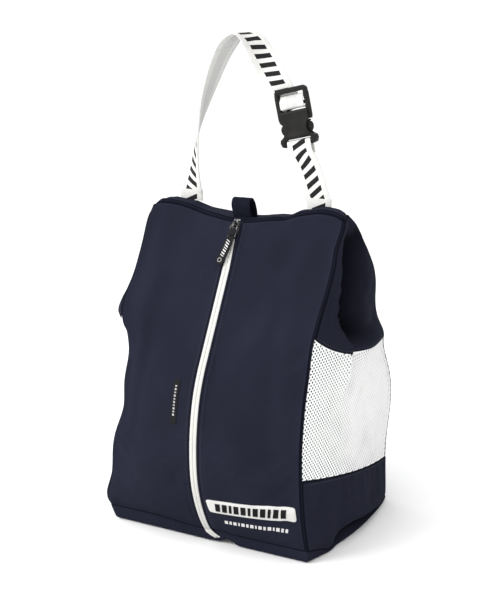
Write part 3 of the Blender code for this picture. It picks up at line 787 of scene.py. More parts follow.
def cloth_relief(place, lengths, outward, slack, cap, name):
    """How far a pinned cloth of this shape, a little too big for its frame, moves off it."""
    rows = max(8, int(lengths[1] / CLOTH_CELL))
    cols = max(6, int(lengths[0] / CLOTH_CELL))
    grid = place(*np.meshgrid(np.linspace(0, 1, cols), np.linspace(0, 1, rows)))
    mesh = bpy.data.meshes.new(name)
    mesh.from_pydata((grid * MM).reshape(-1, 3).tolist(), [], grid_faces(rows, cols))
    item = in_scene(bpy.data.objects.new(name, mesh))
    held = item.vertex_groups.new(name="held")
    held.add([r * cols + c for r in range(rows) for c in range(cols)
              if r in (0, rows - 1) or c in (0, cols - 1)], 1.0, "REPLACE")
    cloth = item.modifiers.new("cloth", "CLOTH")
    for key, value in (("quality", 6), ("mass", 0.25), ("tension_stiffness", 18),
                       ("compression_stiffness", 12), ("shear_stiffness", 8),
                       ("bending_stiffness", 1.2), ("air_damping", 4), ("shrink_min", -slack),
                       ("vertex_group_mass", "held"), ("use_pressure", True),
                       ("uniform_pressure_force", 0.35)):
        setattr(cloth.settings, key, value)
    cloth.collision_settings.use_collision = False
    cloth.collision_settings.use_self_collision = False
    for step in range(1, CLOTH_STEPS + 1):
        bpy.context.scene.frame_set(step)
    settled = item.evaluated_get(bpy.context.evaluated_depsgraph_get())
    shape = settled.to_mesh()
    moved = np.empty(len(shape.vertices) * 3)
    shape.vertices.foreach_get("co", moved)
    settled.to_mesh_clear()
    bpy.context.scene.frame_set(1)
    bpy.data.objects.remove(item)
    off = moved.reshape(rows, cols, 3) / MM - grid
    relief = cap * np.tanh(np.sum(off * normals_of(grid, outward), axis=-1) / cap)

    def sample(u, v):
        x = np.clip(u, 0, 1) * (cols - 1)
        y = np.clip(v, 0, 1) * (rows - 1)
        i = np.minimum(x.astype(int), cols - 2)
        j = np.minimum(y.astype(int), rows - 2)
        return on_grid(relief, i, j, ramp(x - i, 0, 1), ramp(y - j, 0, 1))

    return sample


def panel(name, place, lengths, outward, insets, node, fold=None, step=2.8, slack=0.012, cap=2.2,
          rolls=(ROLL, ROLL, ROLL, ROLL)):
    """A navy panel with rounded edges. place maps u and v to points, insets pull back the
    edges at u=0, u=1, v=0 and v=1, and fold adds height along the outward normal."""
    us = stations(lengths[0], step, *insets[:2])
    vs = stations(lengths[1], step, *insets[2:])
    u, v = np.meshgrid(us, vs)
    grid = place(u, v)
    n = normals_of(grid, outward)
    su = run_lengths(grid, 1)
    sv = run_lengths(grid, 0)
    sides = (su, su[:, -1:] - su, sv, sv[-1:, :] - sv)
    inside = np.minimum.reduce(sides)
    depth = np.zeros(u.shape)
    for distance, roll in zip(sides, rolls):
        left = roll - np.minimum(distance, roll)
        depth = np.maximum(depth, roll - np.sqrt(np.maximum(0.0, roll**2 - left**2)))
    height = 0.22 * ripple(grid, 11.0) * ramp(inside, 2, 22)
    relief = cloth_relief(place, lengths, outward, slack, cap, name + "_cloth")
    if relief:
        height = height + relief(u, v)
    if fold:
        height = height + fold(u, v, grid)
    height = height * ramp(inside, 0, 6)
    outer = warp(grid + n * (height - depth)[..., None])
    inner = warp(grid + n * (height * 0.9 - PANEL - 0.2)[..., None])
    # edge marks each panel's rolled border for the cloth's painted seam shade.
    sheet_piece(name, outer, inner, navy_look, "navy_fabric", np.stack((su, sv), axis=-1) * MM,
                (node,), edge=1.0 - ramp(inside, 0.2, 3.4), hollow=recess(grid))
    PANELS[name] = (us, vs, outer, normals_of(outer, outward))


def on_panel(name, u, v):
    """Points on a finished panel, and their normals."""
    us, vs, outer, normal = PANELS[name]
    u = np.clip(np.asarray(u, float), us[0], us[-1])
    v = np.clip(np.asarray(v, float), vs[0], vs[-1])
    i = np.clip(np.searchsorted(us, u, side="right") - 1, 0, len(us) - 2)
    j = np.clip(np.searchsorted(vs, v, side="right") - 1, 0, len(vs) - 2)
    s = ((u - us[i]) / (us[i + 1] - us[i]))[..., None]
    t = ((v - vs[j]) / (vs[j + 1] - vs[j]))[..., None]
    return on_grid(outer, i, j, s, t), unit(on_grid(normal, i, j, s, t))


# Body panels


def front_place(side):
    def place(u, v):
        level = RIM_Z + (TOP_Z - RIM_Z) * v
        x = ZIP_OPENING + (half_width(level) - ZIP_OPENING) * u
        z = sagged(x, level)
        return np.stack((side * x, front_y(x, z), z), axis=-1)
    return place


def back_place(u, v):
    level = RIM_Z + (TOP_Z - RIM_Z) * v
    x = (2 * u - 1) * half_width(level)
    z = sagged(x, level)
    return np.stack((x, back_y(x, z), z), axis=-1)


def top_place(u, v):
    x = (2 * u - 1) * half_width(TOP_Z)
    z = top_z(x)
    front = front_y(x, z)
    return np.stack((x, front + (back_y(x, z) - front) * v, z), axis=-1)


def side_place(side, low, high):
    def place(u, v):
        z = low(u) + (high(u) - low(u)) * v
        return np.stack((side * side_x(u, z), side_y(u, z), z), axis=-1)
    return place


def front_fold(side):
    """A slack hollow, a drape beside the seam and, on the right, slanting pulls."""
    def fold(u, v, p):
        x = side * p[..., 0]
        z = p[..., 2]
        slack = 1.6 * hill(z - 250, 40) * hill(x - 60, 30)
        drape = 1.1 * hill(x - 88 + 0.10 * (z - 120), 9) - 1.0 * hill(x - 74 + 0.10 * (z - 120), 8)
        slope = (x - 62) - 0.42 * (z - 240)
        pulls = 1.9 * hill(slope, 10) - 1.7 * hill(slope + 21, 12)
        if side < 0:
            pulls = 1.5 * hill(x - 84, 9) - 1.3 * hill(x - 64, 12)
        return (-slack + drape * ramp(z, 60, 120) * ramp(z, 300, 230)
                + pulls * ramp(z, 140, 200) * ramp(z, 312, 280))
    return fold


def back_fold(u, v, p):
    x, z = p[..., 0], p[..., 2]
    return (1.8 * hill(z - 150 - 0.25 * x, 16) - 1.6 * hill(z - 190 + 0.18 * x, 13)
            - 1.4 * hill(x + 30, 22) * hill(z - 262, 26) + 1.5 * hill(x - 40, 24) * hill(z - 250, 22))


def lower_fold(u, v, p):
    return 1.6 * hill(v - 0.45, 0.3) * hill(u - 0.35, 0.3)


for side, end in SIDES:
    panel(f"front_{end}", front_place(side), (FRONT_WIDE, FRONT_LONG), (0, -1, 0.3),
          (0.0, 1.5, 0.1, 3.4), f"front_panel_{end}", front_fold(side),
          rolls=(1.6, ROLL, 1.2, TOP_ROLL))
panel("back", back_place, (213.0, 345.0), (0, 1, 0.3), (1.5, 1.5, 0.1, 3.4), "back_panel",
      back_fold, 3.2, 0.016, 3.0, (ROLL, ROLL, 1.2, TOP_ROLL))
panel("top", top_place, (207.0, 23.0), (0, 0, 1), (1.4, 1.4, 3.0, 3.0), "top_panel",
      slack=0.02, cap=1.2, rolls=(ROLL, ROLL, 3.4, 3.4))
for side, end in SIDES:
    panel(f"side_lower_{end}", side_place(side, rim, lower_seam_z), (185.0, LOWER_LONG), (side, 0, 0),
          (1.5, 1.5, 0.1, 0.0), f"gusset_lower_{end}", lower_fold, 2.8, 0.015, 2.0,
          (ROLL, ROLL, 1.2, 1.1))
    panel(f"side_upper_{end}", side_place(side, hem_z, crest), (92.0, SIDE_LONG), (side, 0, 0),
          (1.5, 1.5, 0.0, 1.2), f"gusset_upper_{end}", None, 1.9, 0.015, 2.0,
          (ROLL, ROLL, 1.1, ROLL))

BASE_PROFILE = ((2.2, 12.0), (1.1, 11.8), (0.5, 11.2), (0.1, 10.0), (0.0, 8.0), (0.0, 6.0),
                (0.2, 4.0), (0.7, 2.3), (1.9, 1.1), (4.2, 0.4), (9.0, 0.6), (14.0, 1.5))
BASE_INNER = ((7.0, 4.2), (4.4, 5.6), (3.4, 8.4), (3.2, 11.4))
BASE_MIDDLE = np.array((0.0, -3.0))
BASE_SCALES = (0.8, 0.6, 0.4, 0.2)
BASE_SKIN = 4.0           # height of the inner skin
BASE_SIDE = 56            # points along each side of the base


def base_loop():
    """Points round the bottom seam, with their outward directions."""
    t = np.linspace(0.0, 1.0, BASE_SIDE, endpoint=False)
    x = float(half_width(RIM_Z)) * (2 * t - 1)
    y = side_y(t, RIM_Z)
    loop = np.concatenate((
        np.stack((x, front_y(x, RIM_Z)), axis=-1), np.stack((side_x(t, RIM_Z), y), axis=-1),
        np.stack((-x, back_y(-x, RIM_Z)), axis=-1),
        np.stack((-side_x(1 - t, RIM_Z), y[0] + y[-1] + (y[1] - y[0]) - y), axis=-1)))
    run = np.roll(loop, -1, 0) - np.roll(loop, 1, 0)
    return loop, unit(np.stack((run[:, 1], -run[:, 0]), axis=-1))


def base_panel():
    """The base: a soft roll below the seam, flat underneath, closed by an inner skin."""
    loop, out = base_loop()
    for _ in range(3):
        out = unit(out + np.roll(out, 1, 0) + np.roll(out, -1, 0))

    def ring(flat, z):
        return np.column_stack((flat, np.full(len(flat), z)))

    def shrunk(scale, z):
        return ring(BASE_MIDDLE + (loop - out * BASE_PROFILE[-1][0] - BASE_MIDDLE) * scale, z)

    rings = [ring(loop - out * inset, z) for inset, z in BASE_PROFILE]
    rings += [shrunk(scale, BASE_PROFILE[-1][1]) for scale in BASE_SCALES]
    last = len(rings) - 1
    rings += [shrunk(scale, BASE_SKIN) for scale in reversed(BASE_SCALES)]
    rings += [ring(loop - out * inset, z) for inset, z in BASE_INNER]
    rings = np.array(rings)
    total, count = rings.shape[:2]
    faces = [face for k, face in enumerate(tube_faces(total, count, closed=True))
             if k // count != last]
    faces += [tuple(range(k * count, (k + 1) * count)) for k in (last, last + 1)]
    # edge: the top of the base's roll, at the bottom seam, takes the cloth's painted seam shade.
    edge = np.zeros((total, count))
    rise = np.array([z for _, z in BASE_PROFILE])
    edge[:len(rise)] = ramp(rise, 10.0, 12.0)[:, None] * 0.9
    new_piece("base", warp(rings), faces, navy_look, "bag", "navy_fabric", rings[..., :2] * MM,
              ("bottom_panel",), edge=edge, hollow=recess(rings))


base_panel()


# Seam welts, which close the grooves between panels


def tube(path, radius, sides=8, closed=False):
    """Points and faces of a round tube along a path."""
    path = np.asarray(path, float)
    run = np.roll(path, -1, 0) - np.roll(path, 1, 0) if closed else np.gradient(path, axis=0)
    run = unit(run)
    up = unit(np.cross(run, (0.31, 0.59, 0.74)))
    side = np.cross(run, up)
    angle = np.linspace(0, 2 * pi, sides, endpoint=False)
    rings = path[:, None] + radius * (np.cos(angle)[None, :, None] * up[:, None]
                                      + np.sin(angle)[None, :, None] * side[:, None])
    return rings.reshape(-1, 3), tube_faces(len(path), sides, closed)


def welt(x, y, z, radius, closed=False):
    return tube(warp(np.stack(np.broadcast_arrays(x, y, z), axis=-1)), radius, closed=closed)


def seam_welts():
    parts = []
    z = np.linspace(RIM_Z + 1.0, TOP_Z - 1.5, 120)
    t = np.linspace(0.0, 1.0, 60)
    for side, _ in SIDES:
        x = side * (half_width(z) - SEAM_IN)
        parts.append(welt(x, front_edge(z) + SEAM_IN, z, 1.25))
        parts.append(welt(x, back_edge(z) - SEAM_IN, z, 1.25))
        for height, inset in ((lower_seam_z(t), 1.6), (hem_z(t), SEAM_IN)):
            parts.append(welt(side * (side_x(t, height) - inset), side_y(t, height) * 0.985,
                              height, 0.8))
        parts.append(welt(side * (103.5 - SEAM_IN), side_y(np.linspace(0.08, 0.92, 12), TOP_Z),
                          TOP_Z - SEAM_IN, 1.1))
    x = np.linspace(-101.5, 101.5, 120)
    ridge = top_z(x)
    parts.append(welt(x, front_y(x, ridge) + 3.2, ridge - 3.4, 1.6))
    parts.append(welt(x, back_y(x, ridge) - 3.2, ridge - 3.4, 1.6))
    loop, out = base_loop()
    ring = loop - out * SEAM_IN
    parts.append(welt(ring[:, 0], ring[:, 1], RIM_Z, 1.1, closed=True))
    front_piece("seam_welts", joined(parts), binding_look, "navy_fabric")


seam_welts()


# Mesh windows: netting with real holes, over a pale lining with painted shade

NET_FRONT = -106.0
NET_BACK = 96.0
NET_LOW = 34.0
NET_HIGH = 214.0
NET_UNDER = 2.4           # how far the netting runs on under the fabric above and below it
NET_ZIG = 0.42
NET_HALF_THICK = 0.34
NET_CORNERS = ((-1, 0), (0, 0), (1, 0), (1, 1), (0, 1), (-1, 1))
NET_HOLE = ((-0.92, -0.42), (0.0, -1.08), (0.92, -0.42), (0.92, 0.42), (0.0, 1.08), (-0.92, 0.42))


def netting_window(side, end):
    """A honeycomb of rounded strands between the lower seam and the hem."""
    half = CELL_WIDE / 2
    index = {}
    flat = []
    faces = []

    def node(key, y, z, lift):
        if key not in index:
            index[key] = len(flat)
            flat.append((y, z, lift))
        return index[key]

    for j in range(int((NET_HIGH - NET_LOW) / CELL_HIGH)):
        for n in range(2 - j % 2, int((NET_BACK - NET_FRONT) / half), 2):
            y = NET_FRONT + n * half
            z = NET_LOW + (j + 0.5) * CELL_HIGH
            front = float(front_edge(z))
            back = float(back_edge(z))
            t = min(max((y - front) / (back - front), 0.0), 1.0)
            bottom = float(lower_seam_z(t))
            top = float(hem_z(t))
            if not (front - 0.8 <= y <= back + 0.8 and bottom - NET_UNDER <= z <= top + NET_UNDER):
                continue
            ring = [((n + dn, j + dj), NET_FRONT + (n + dn) * half, NET_LOW + (j + dj) * CELL_HIGH
                     + (NET_ZIG if (n + dn + j + dj) % 2 else -NET_ZIG)) for dn, dj in NET_CORNERS]
            up = [node((k, 1), a, b, NET_HALF_THICK) for k, a, b in ring]
            down = [node((k, -1), a, b, -NET_HALF_THICK) for k, a, b in ring]
            if not (front + 2.6 < y < back - 2.6 and bottom + 0.9 < z < top - 0.9):
                faces += [tuple(up), tuple(reversed(down))]
                continue
            mid = [node(((n, j, k), 0), y + a, z + b, 0.0) for k, (a, b) in enumerate(NET_HOLE)]
            for k in range(6):
                m = (k + 1) % 6
                faces += [(up[k], up[m], mid[m], mid[k]), (down[m], down[k], mid[k], mid[m])]
    edges = {pair: True for face in faces for pair in zip(face, face[1:] + face[:1])}
    twin = {i: index[(key[0], -1)] for key, i in index.items() if key[1] == 1}
    faces += [(b, a, twin[a], twin[b]) for a, b in edges
              if (b, a) not in edges and a in twin and b in twin]
    y, z, lift = np.array(flat).T
    front = front_edge(z) + SEAM_IN
    back = back_edge(z) - SEAM_IN
    y = np.clip(y, front, back)
    t = np.clip((y - front) / (back - front), 0, 1)
    z = np.clip(z, lower_seam_z(t) - NET_UNDER, hem_z(t) + NET_UNDER)
    x = side_x(t, z) - 1.5 + window_belly(t, z) + lift
    new_piece(f"netting_{end}", warp(np.column_stack((side * x, y, z))), faces, netting, "bag",
              "white_mesh", nodes=(f"mesh_window_{end}",))


def window_belly(t, z):
    """How far the netting stands out between its seams."""
    v = np.clip((z - lower_seam_z(t)) / (hem_z(t) - lower_seam_z(t)), 0, 1)
    return 3.4 * (4 * v * (1 - v)) ** 0.7 * np.clip(4 * t * (1 - t), 0, 1) ** 0.6


def window_sheet(name, side, x, y, z, thick, look, slot, **marks):
    """A sheet behind the netting."""
    outer = warp(np.stack((side * x, y, z), axis=-1))
    inner = warp(np.stack((side * (x - thick), y, z), axis=-1))
    sheet_piece(name, outer, inner, look, slot, np.stack((y, z), axis=-1) * MM, **marks)


def lining_window(side, end):
    u, v = np.meshgrid(np.linspace(0.015, 0.985, 50), np.linspace(-0.02, 1.02, 40))
    z = lower_seam_z(u) + (hem_z(u) - lower_seam_z(u)) * v
    y = side_y(u, z, 2.2)
    sag = 1.2 * ripple(np.stack((0 * y, y, z), axis=-1), 9.0)
    x = side_x(u, z) + window_belly(u, z) - 3.6 + sag * ramp(np.minimum(u, 1 - u), 0, 0.1)
    # Painted shade on the lining, for the dim inside of the bag: dark at the front and along the top
    # and bottom seams, with two darker patches, pale towards the back.
    dark = 0.72 - 0.78 * ramp(u, 0.14, 0.60) + 0.45 * hill(v - 1.0, 0.16) + 0.55 * hill(v, 0.14)
    dark += (0.5 * hill(v - 0.25, 0.09) * hill(u - 0.66, 0.08)
             + 0.3 * hill(u - 0.42, 0.1) * hill(v - 0.78, 0.16))
    # Painted shade: the left lining is kept darker all over, where the stronger light on that side
    # would wash out its holes.
    if side < 0:
        dark = 0.62 + 0.38 * dark
    window_sheet(f"lining_{end}", side, x, y, z, 0.8, lining_painted_shade_look, "white_mesh",
                 edge=np.clip(dark, 0.0, 1.0))


def allowance(side, end):
    """The navy seam allowance, which shows through the holes beside the front corner."""
    u, v = np.meshgrid(np.linspace(0.0, 1.0, 5), np.linspace(-0.02, 1.02, 50))
    z = LOWER_SEAM[0] + (HEM[0] - LOWER_SEAM[0]) * v
    y = front_edge(z) + 2.0 + 9.0 * u
    t = (y - front_edge(z)) / (back_edge(z) - front_edge(z))
    x = side_x(t, z) + window_belly(t, z) - 2.35
    window_sheet(f"seam_allowance_{end}", side, x, y, z, 0.5, binding_look, "navy_fabric")


for side, end in SIDES:
    netting_window(side, end)
    lining_window(side, end)
    allowance(side, end)


# Zip

ZIP_ROWS = 150            # points down the front, above the bottom seam


def zip_path():
    """Distance and (y, z) down the front, over the bottom seam and under the base."""
    down = [(float(front_middle(z)), z) for z in np.linspace(ZIP_HIGH[1] + 0.5, RIM_Z, ZIP_ROWS)]
    rest = [(-95.4, 9.4), (-95.5, 6.6), (-94.3, 4.2), (-91.6, 2.4), (-87.5, 1.7), (-80.0, 1.5),
            (-59.0, 1.5)]
    path = np.array(down + rest)
    for _ in range(2):
        path[ZIP_ROWS + 1:-1] = ((path[:-2] + 2 * path[1:-1] + path[2:]) / 4)[ZIP_ROWS:]
    run = run_along(path)
    s = np.linspace(0.0, run[-1], int(run[-1] / (RIB_PITCH / 3)))
    return s, np.column_stack((np.interp(s, run, path[:, 0]), np.interp(s, run, path[:, 1])))


def zip_band():
    """The white zip: two ribbed halves with a slit between them, and navy tape beside them."""
    s, path = zip_path()
    run = np.gradient(path, axis=0)
    run /= np.linalg.norm(run, axis=1, keepdims=True)
    out = np.column_stack((run[:, 1], -run[:, 0]))
    low = 1 - (0.5 + 0.5 * np.cos(2 * pi * s / RIB_PITCH))
    # Towards the top the white narrows and the navy border widens into its place, partly for the flap
    # over the band and partly as painted shade beside the puller.
    white = (ZIP_WHITE_END + (ZIP_WHITE_TOP - ZIP_WHITE_END) * ramp(s, 5, 12)
             + (ZIP_WHITE - ZIP_WHITE_TOP) * ramp(s, 14, 52))
    band = [(ZIP_SLIT + (x - ZIP_SLIT) * (white / ZIP_EDGE), high - 0.26 * ribbed * low)
            for x, high, ribbed in ZIP_SECTION]
    border = [(white + (TAPE_WIDE - white) * share, high + 0 * s) for share, high in ZIP_BORDER]
    for side, end in SIDES:
        for name, section, every, look, slot, nodes in (
                ("zip_band", band, 1, zip_look, "white_zip", (f"zip_tape_{end}", f"zip_coil_{end}")),
                ("zip_border", border, 3, navy_look, "navy_fabric", ())):
            rings = [np.column_stack((side * across, path + out * high[:, None]))[::every]
                     for across, high in section]
            uv = [np.column_stack((s, across))[::every] * MM for across, _ in section]
            ring_piece(f"{name}_{end}", warp(np.stack(rings, axis=1)), look, "bag", slot,
                       np.stack(uv, axis=1), nodes)


zip_band()


# Stitching


def stitches(lines):
    """Short rounded threads along lines of (points, normals)."""
    parts = []
    angle = np.linspace(0, 2 * pi, 6, endpoint=False)
    profile = ((-0.5, 0.3), (-0.36, 0.95), (0.36, 0.95), (0.5, 0.3))
    for points, normals in lines:
        run = run_along(points)

        def at(s, table):
            return np.array([np.interp(s, run, table[:, k]) for k in range(3)])

        for s in np.arange(STITCH_PITCH, run[-1] - STITCH_PITCH / 2, STITCH_PITCH):
            start = at(s - STITCH_LONG / 2, points)
            stop = at(s + STITCH_LONG / 2, points)
            along = unit(stop - start)
            across = unit(np.cross(at(s, normals), along))
            n = np.cross(along, across)
            around = STITCH_HALF * (np.cos(angle)[:, None] * across + np.sin(angle)[:, None] * n)
            rings = [(start + stop) / 2 + n * 0.05 + (stop - start) * a + around * w
                     for a, w in profile]
            parts.append((np.concatenate(rings), tube_faces(4, 6)))
    return joined(parts)


def stitch_lines():
    """Lines along the zip and just inside the seams, as (points, normals)."""
    lines = []
    for end in ("left", "right"):
        for name, us, vs in (
                ("front", STITCH_IN / FRONT_WIDE, np.linspace(0.01, 0.985, 260)),
                ("side_upper", np.linspace(0.03, 0.97, 100), STITCH_SIDE_IN / SIDE_LONG),
                ("side_lower", np.linspace(0.03, 0.97, 120), 1 - STITCH_SIDE_IN / LOWER_LONG),
                ("front", np.linspace(0.03, 0.97, 100), 1 - STITCH_IN / FRONT_LONG)):
            lines.append(on_panel(f"{name}_{end}", *np.broadcast_arrays(us, vs)))
    return lines


new_piece("stitching_navy", *stitches(stitch_lines()), navy_thread, "bag", "navy_fabric")


# Label, patch and generic marks on the front


def front_plate(x, z, low, high, end):
    """A thin closed sheet on the front; x and z are grids, low and high its two heights."""
    v = (z - RIM_Z) / (TOP_Z - RIM_Z)
    u = (np.abs(x) - ZIP_OPENING) / (half_width(z) - ZIP_OPENING)
    point, n = on_panel(f"front_{end}", u, v)
    outer = point + n * (high + 0 * x)[..., None]
    inner = point + n * low
    return np.concatenate((outer.reshape(-1, 3), inner.reshape(-1, 3))), shell_faces(*x.shape)


def in_corners(corners, s, t):
    return [four_way(*line, s, t) for line in np.array(corners, float).T]


def rounded_plate(corners, rows, cols, high, end, round_by, soft):
    """A four-cornered plate with rounded corners and softened edges."""
    a, b, _, d = np.array(corners, float)
    s = np.concatenate(([0, 0.012, 0.035], np.linspace(0.07, 0.93, cols), [0.965, 0.988, 1]))
    t = np.concatenate(([0, 0.05, 0.15], np.linspace(0.28, 0.72, rows), [0.85, 0.95, 1]))
    places = []
    over = []
    for share, size in zip(np.meshgrid(s, t), (np.linalg.norm(b - a), np.linalg.norm(d - a))):
        places.append((share - 0.5) * size)
        over.append(np.maximum(np.abs(places[-1]) - (size / 2 - round_by), 0))
    reach = np.maximum(np.hypot(*over), 1e-6)
    square = np.maximum(*over)
    keep = np.where(reach > 1e-5, square / reach, 1.0)
    shares = []
    for place, past, size in zip(places, over, (np.linalg.norm(b - a), np.linalg.norm(d - a))):
        flat = np.minimum(np.abs(place), size / 2 - round_by)
        shares.append(np.sign(place) * (flat + past * keep) / size + 0.5)
    top = high - soft * (1 - ramp(round_by - square, 0, 0.9))
    return front_plate(*in_corners(corners, *shares), -0.15, top, end)


def bars(corners, widths, gap, slant, margin, low, high, end):
    """Slanted bars in a row between the margins of a four-cornered area."""
    at = (1 - sum(widths) - gap * (len(widths) - 1)) / 2
    parts = []
    for width in widths:
        s, t = np.meshgrid(np.linspace(0, 1, 5), np.linspace(margin, 1 - margin, 6))
        x, z = in_corners(corners, at + width * s + slant * (t - 0.5), t)
        parts.append(front_plate(x, z, low, high, end))
        at += width + gap
    return joined(parts)


PATCH = ((13, 40), (100, 44), (99, 58), (11, 53))
DASHES = ((18, 27.6), (99, 30.8), (99, 35.8), (18, 32.4))
LABEL = ((-21.2, 121), (-21.2, 162), (-28.4, 162), (-28.4, 121))
LABEL_MARKS = ((-21.2, 127), (-21.2, 158), (-28.4, 158), (-28.4, 127))
BARS_WIDE = (0.056, 0.056, 0.03) * 3 + (0.056, 0.056)
DASHES_WIDE = (0.042, 0.03, 0.042, 0.02) * 3 + (0.042, 0.03, 0.03)
front_piece("patch", rounded_plate(PATCH, 5, 34, 1.25, "right", 2.4, 0.35), patch_look,
            "white_patch", ("front_patch",))
front_piece("patch_bars", bars(PATCH, BARS_WIDE, 0.026, 0.035, 0.2, 1.0, 1.75, "right"),
            black_ink, "white_patch", smooth=False)
front_piece("printed_dashes", bars(DASHES, DASHES_WIDE, 0.021, 0.012, 0.12, -0.1, 0.22, "right"),
            white_ink, "white_patch", smooth=False)
front_piece("label", rounded_plate(LABEL, 5, 18, 0.8, "left", 0.8, 0.3), tape_look, "black_tape",
            ("side_label",))
front_piece("label_dashes", bars(LABEL_MARKS, (0.06, 0.04) * 5, 0.045, 0.0, 0.36, 0.6, 0.9, "left"),
            grey_ink, "black_tape", smooth=False)


# Webbing

RIGHTWARD = Vector((1, 0, 0))
UPWARD = Vector((0, 0, 1))


def section_of(width, thick):
    """A flat webbing section: (across, out, face) with rounded selvages; face 1 is inner."""
    xs = np.linspace(-width / 2 + thick / 2, width / 2 - thick / 2, 7)
    ridge = thick / 2 * (1.0 + 0.10 * np.cos(2 * pi * (xs / width) * 2))
    top = [(x, h, 0) for x, h in zip(xs, ridge)]
    end = width / 2 - thick * 0.12
    low = thick * 0.3
    return (top + [(end, low, 0), (end, -low, 1)] + [(x, -h, 1) for x, h, _ in reversed(top)]
            + [(-end, -low, 1), (-end, low, 0)])


def webbing(name, frames, look, body, slot, node, width=WEBBING, thick=WEBBING_THICK, start=0.0):
    """A strap through (place, across, face) frames. face points out of the outer side."""
    section = section_of(width, thick)
    rings = []
    uv = []
    run = start
    last = frames[0][0]
    for place, across, face in frames:
        run += (place - last).length
        last = place
        rings.append([place + across * a + face * b for a, b, _ in section])
        uv.append([(run * MM, a * MM + INNER_V * inner) for a, _, inner in section])
    return ring_piece(name, rings, look, body, slot, np.array(uv), (node,))


def strap(name, frames, body, node, **sizes):
    return webbing(name, frames, strap_look, body, "white_webbing", node, **sizes)


def smooth_route(points, count):
    table = np.array(points, float)
    run = run_along(table[:, :3])
    s = np.linspace(0.0, run[-1], count)
    return np.stack([smooth_table(list(zip(run, column)))(s) for column in table.T], axis=-1)


def smooth_places(points, count):
    return [Vector(row) for row in smooth_route(points, count)]


def buckle_point(u, v, w):
    down = Vector((sin(BUCKLE_TILT), 0, -cos(BUCKLE_TILT)))
    across = Vector((cos(BUCKLE_TILT), 0, sin(BUCKLE_TILT)))
    top = Vector((BUCKLE_TOP[0], PIVOT_Y, BUCKLE_TOP[1]))
    return top + across * u + down * v + Vector((0, -w, 0))


BUCKLE_ACROSS = buckle_point(1, 0, 0) - buckle_point(0, 0, 0)


def buckle_route(points):
    return [tuple(buckle_point(0, v, w)) for v, w in points]


def directions(places):
    after = places[1:] + places[-1:]
    before = places[:1] + places[:-1]
    return [(a - b).normalized() for a, b in zip(after, before)]


def long_strap():
    """The upper webbing, turned a quarter round on its way, with its angle as a fourth value."""
    behind = PIVOT_Y + 3.6
    route = [(ROOT_X[0], PIVOT_Y, PIVOT_Z + 0.9, 0), (-66.0, PIVOT_Y, 340, 28),
             (-62.5, PIVOT_Y, 366, 50), (-58.5, PIVOT_Y, 386, 62), (-52.5, PIVOT_Y, 408, 78),
             (-44.0, PIVOT_Y, 431, 92), (-34.2, PIVOT_Y, 452.5, 100),
             (-25.0, PIVOT_Y, 467.0, 104), (-12.2, PIVOT_Y, 476.5, 88),
             (0.8, PIVOT_Y + 1, 470.4, 60), (9.5, PIVOT_Y + 2, 458.0, 42),
             (18.5, behind, 443.5, 15), (25.5, behind, 432.0, 3), (32.5, behind, 422.0, 0),
             (38.5, behind, 414.0, 0), (42.5, behind, 407.5, 0)]
    table = smooth_route(route, 170)
    places = [Vector(row[:3]) for row in table]
    frames = []
    for place, along, turn in zip(places, [UPWARD] + directions(places)[1:], table[:, 3]):
        outward = Vector((-along.z, 0, along.x)).normalized()
        across = Matrix.Rotation(-radians(turn), 3, along) @ outward
        frames.append((place, across, along.cross(across)))
    made = strap("strap_upper", frames, None, "strap_long")
    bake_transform(made)


def short_strap():
    """The lower webbing, up to the socket's bar and back behind itself."""
    leg = [(ROOT_X[1], PIVOT_Y, PIVOT_Z + 0.9), (67.2, PIVOT_Y, 337), (60.5, PIVOT_Y - 1.2, 356)]
    leg += buckle_route(((60.0, 2.9), (52.5, 2.9)))
    turn = buckle_route(((52.5, 2.9), (49.9, 2.4), (48.9, 0.8), (48.9, -0.8), (49.9, -2.4),
                         (53.5, -2.9), (63.0, -2.9)))
    places = smooth_places(leg, 60) + smooth_places(turn, 34)[1:]
    frames = []
    for i, along in enumerate([UPWARD] + directions(places)[1:]):
        across = RIGHTWARD.lerp(BUCKLE_ACROSS, min(1.0, i / 24))
        across = (across - along * across.dot(along)).normalized()
        frames.append((places[i], across, across.cross(along)))
    strap("strap_lower", frames, "handle", "strap_short", thick=1.3, start=11.0)


def flat_frames(places, across):
    return [(place, across, across.cross(along).normalized())
            for place, along in zip(places, directions(places))]


def fold_strap():
    path = buckle_route(((7.2, -1.2), (9.6, 0.4), (12.2, 2.5), (15.4, 2.9), (18.4, 2.5),
                         (19.3, 0.6), (19.3, -1.5)))
    strap("strap_fold_over", flat_frames(smooth_places(path, 30), BUCKLE_ACROSS), "plug",
          "strap_fold", thick=1.2, start=3.0)


def strap_tab(end, middle):
    """The doubled sewn end of the handle, which bends with it just above the bag."""
    frames = [(Vector((middle, PIVOT_Y, z)), RIGHTWARD, Vector((0, -1, 0)))
              for z in np.linspace(float(top_z(middle)) - 1.5, TAB_TOP, 22)]
    made = strap(f"strap_tab_{end}", frames, None, f"strap_root_{end}", width=25.3, thick=2.6,
                 start=-18.0)
    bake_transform(made)


def pull_loop():
    """The short folded tab behind the top of the zip."""
    low = float(top_z(0))
    path = [(0, -26.0, low - 1.5), (0, -29.0, 312.0), (0, -30.5, 318.0), (0, -28.6, 322.6),
            (0, -24.4, 323.4), (0, -20.4, 320.0), (0, -16.8, 313.0), (0, -14.6, low - 1.5)]
    webbing("pull_loop", flat_frames(smooth_places(path, 44), RIGHTWARD), binding_look, "bag",
            "navy_fabric", "loop_tab", 20.0, 1.6)


long_strap()
short_strap()
fold_strap()
strap_tab("left", ROOT_X[0])
strap_tab("right", ROOT_X[1])
pull_loop()


# Zip slider, buckle and puller


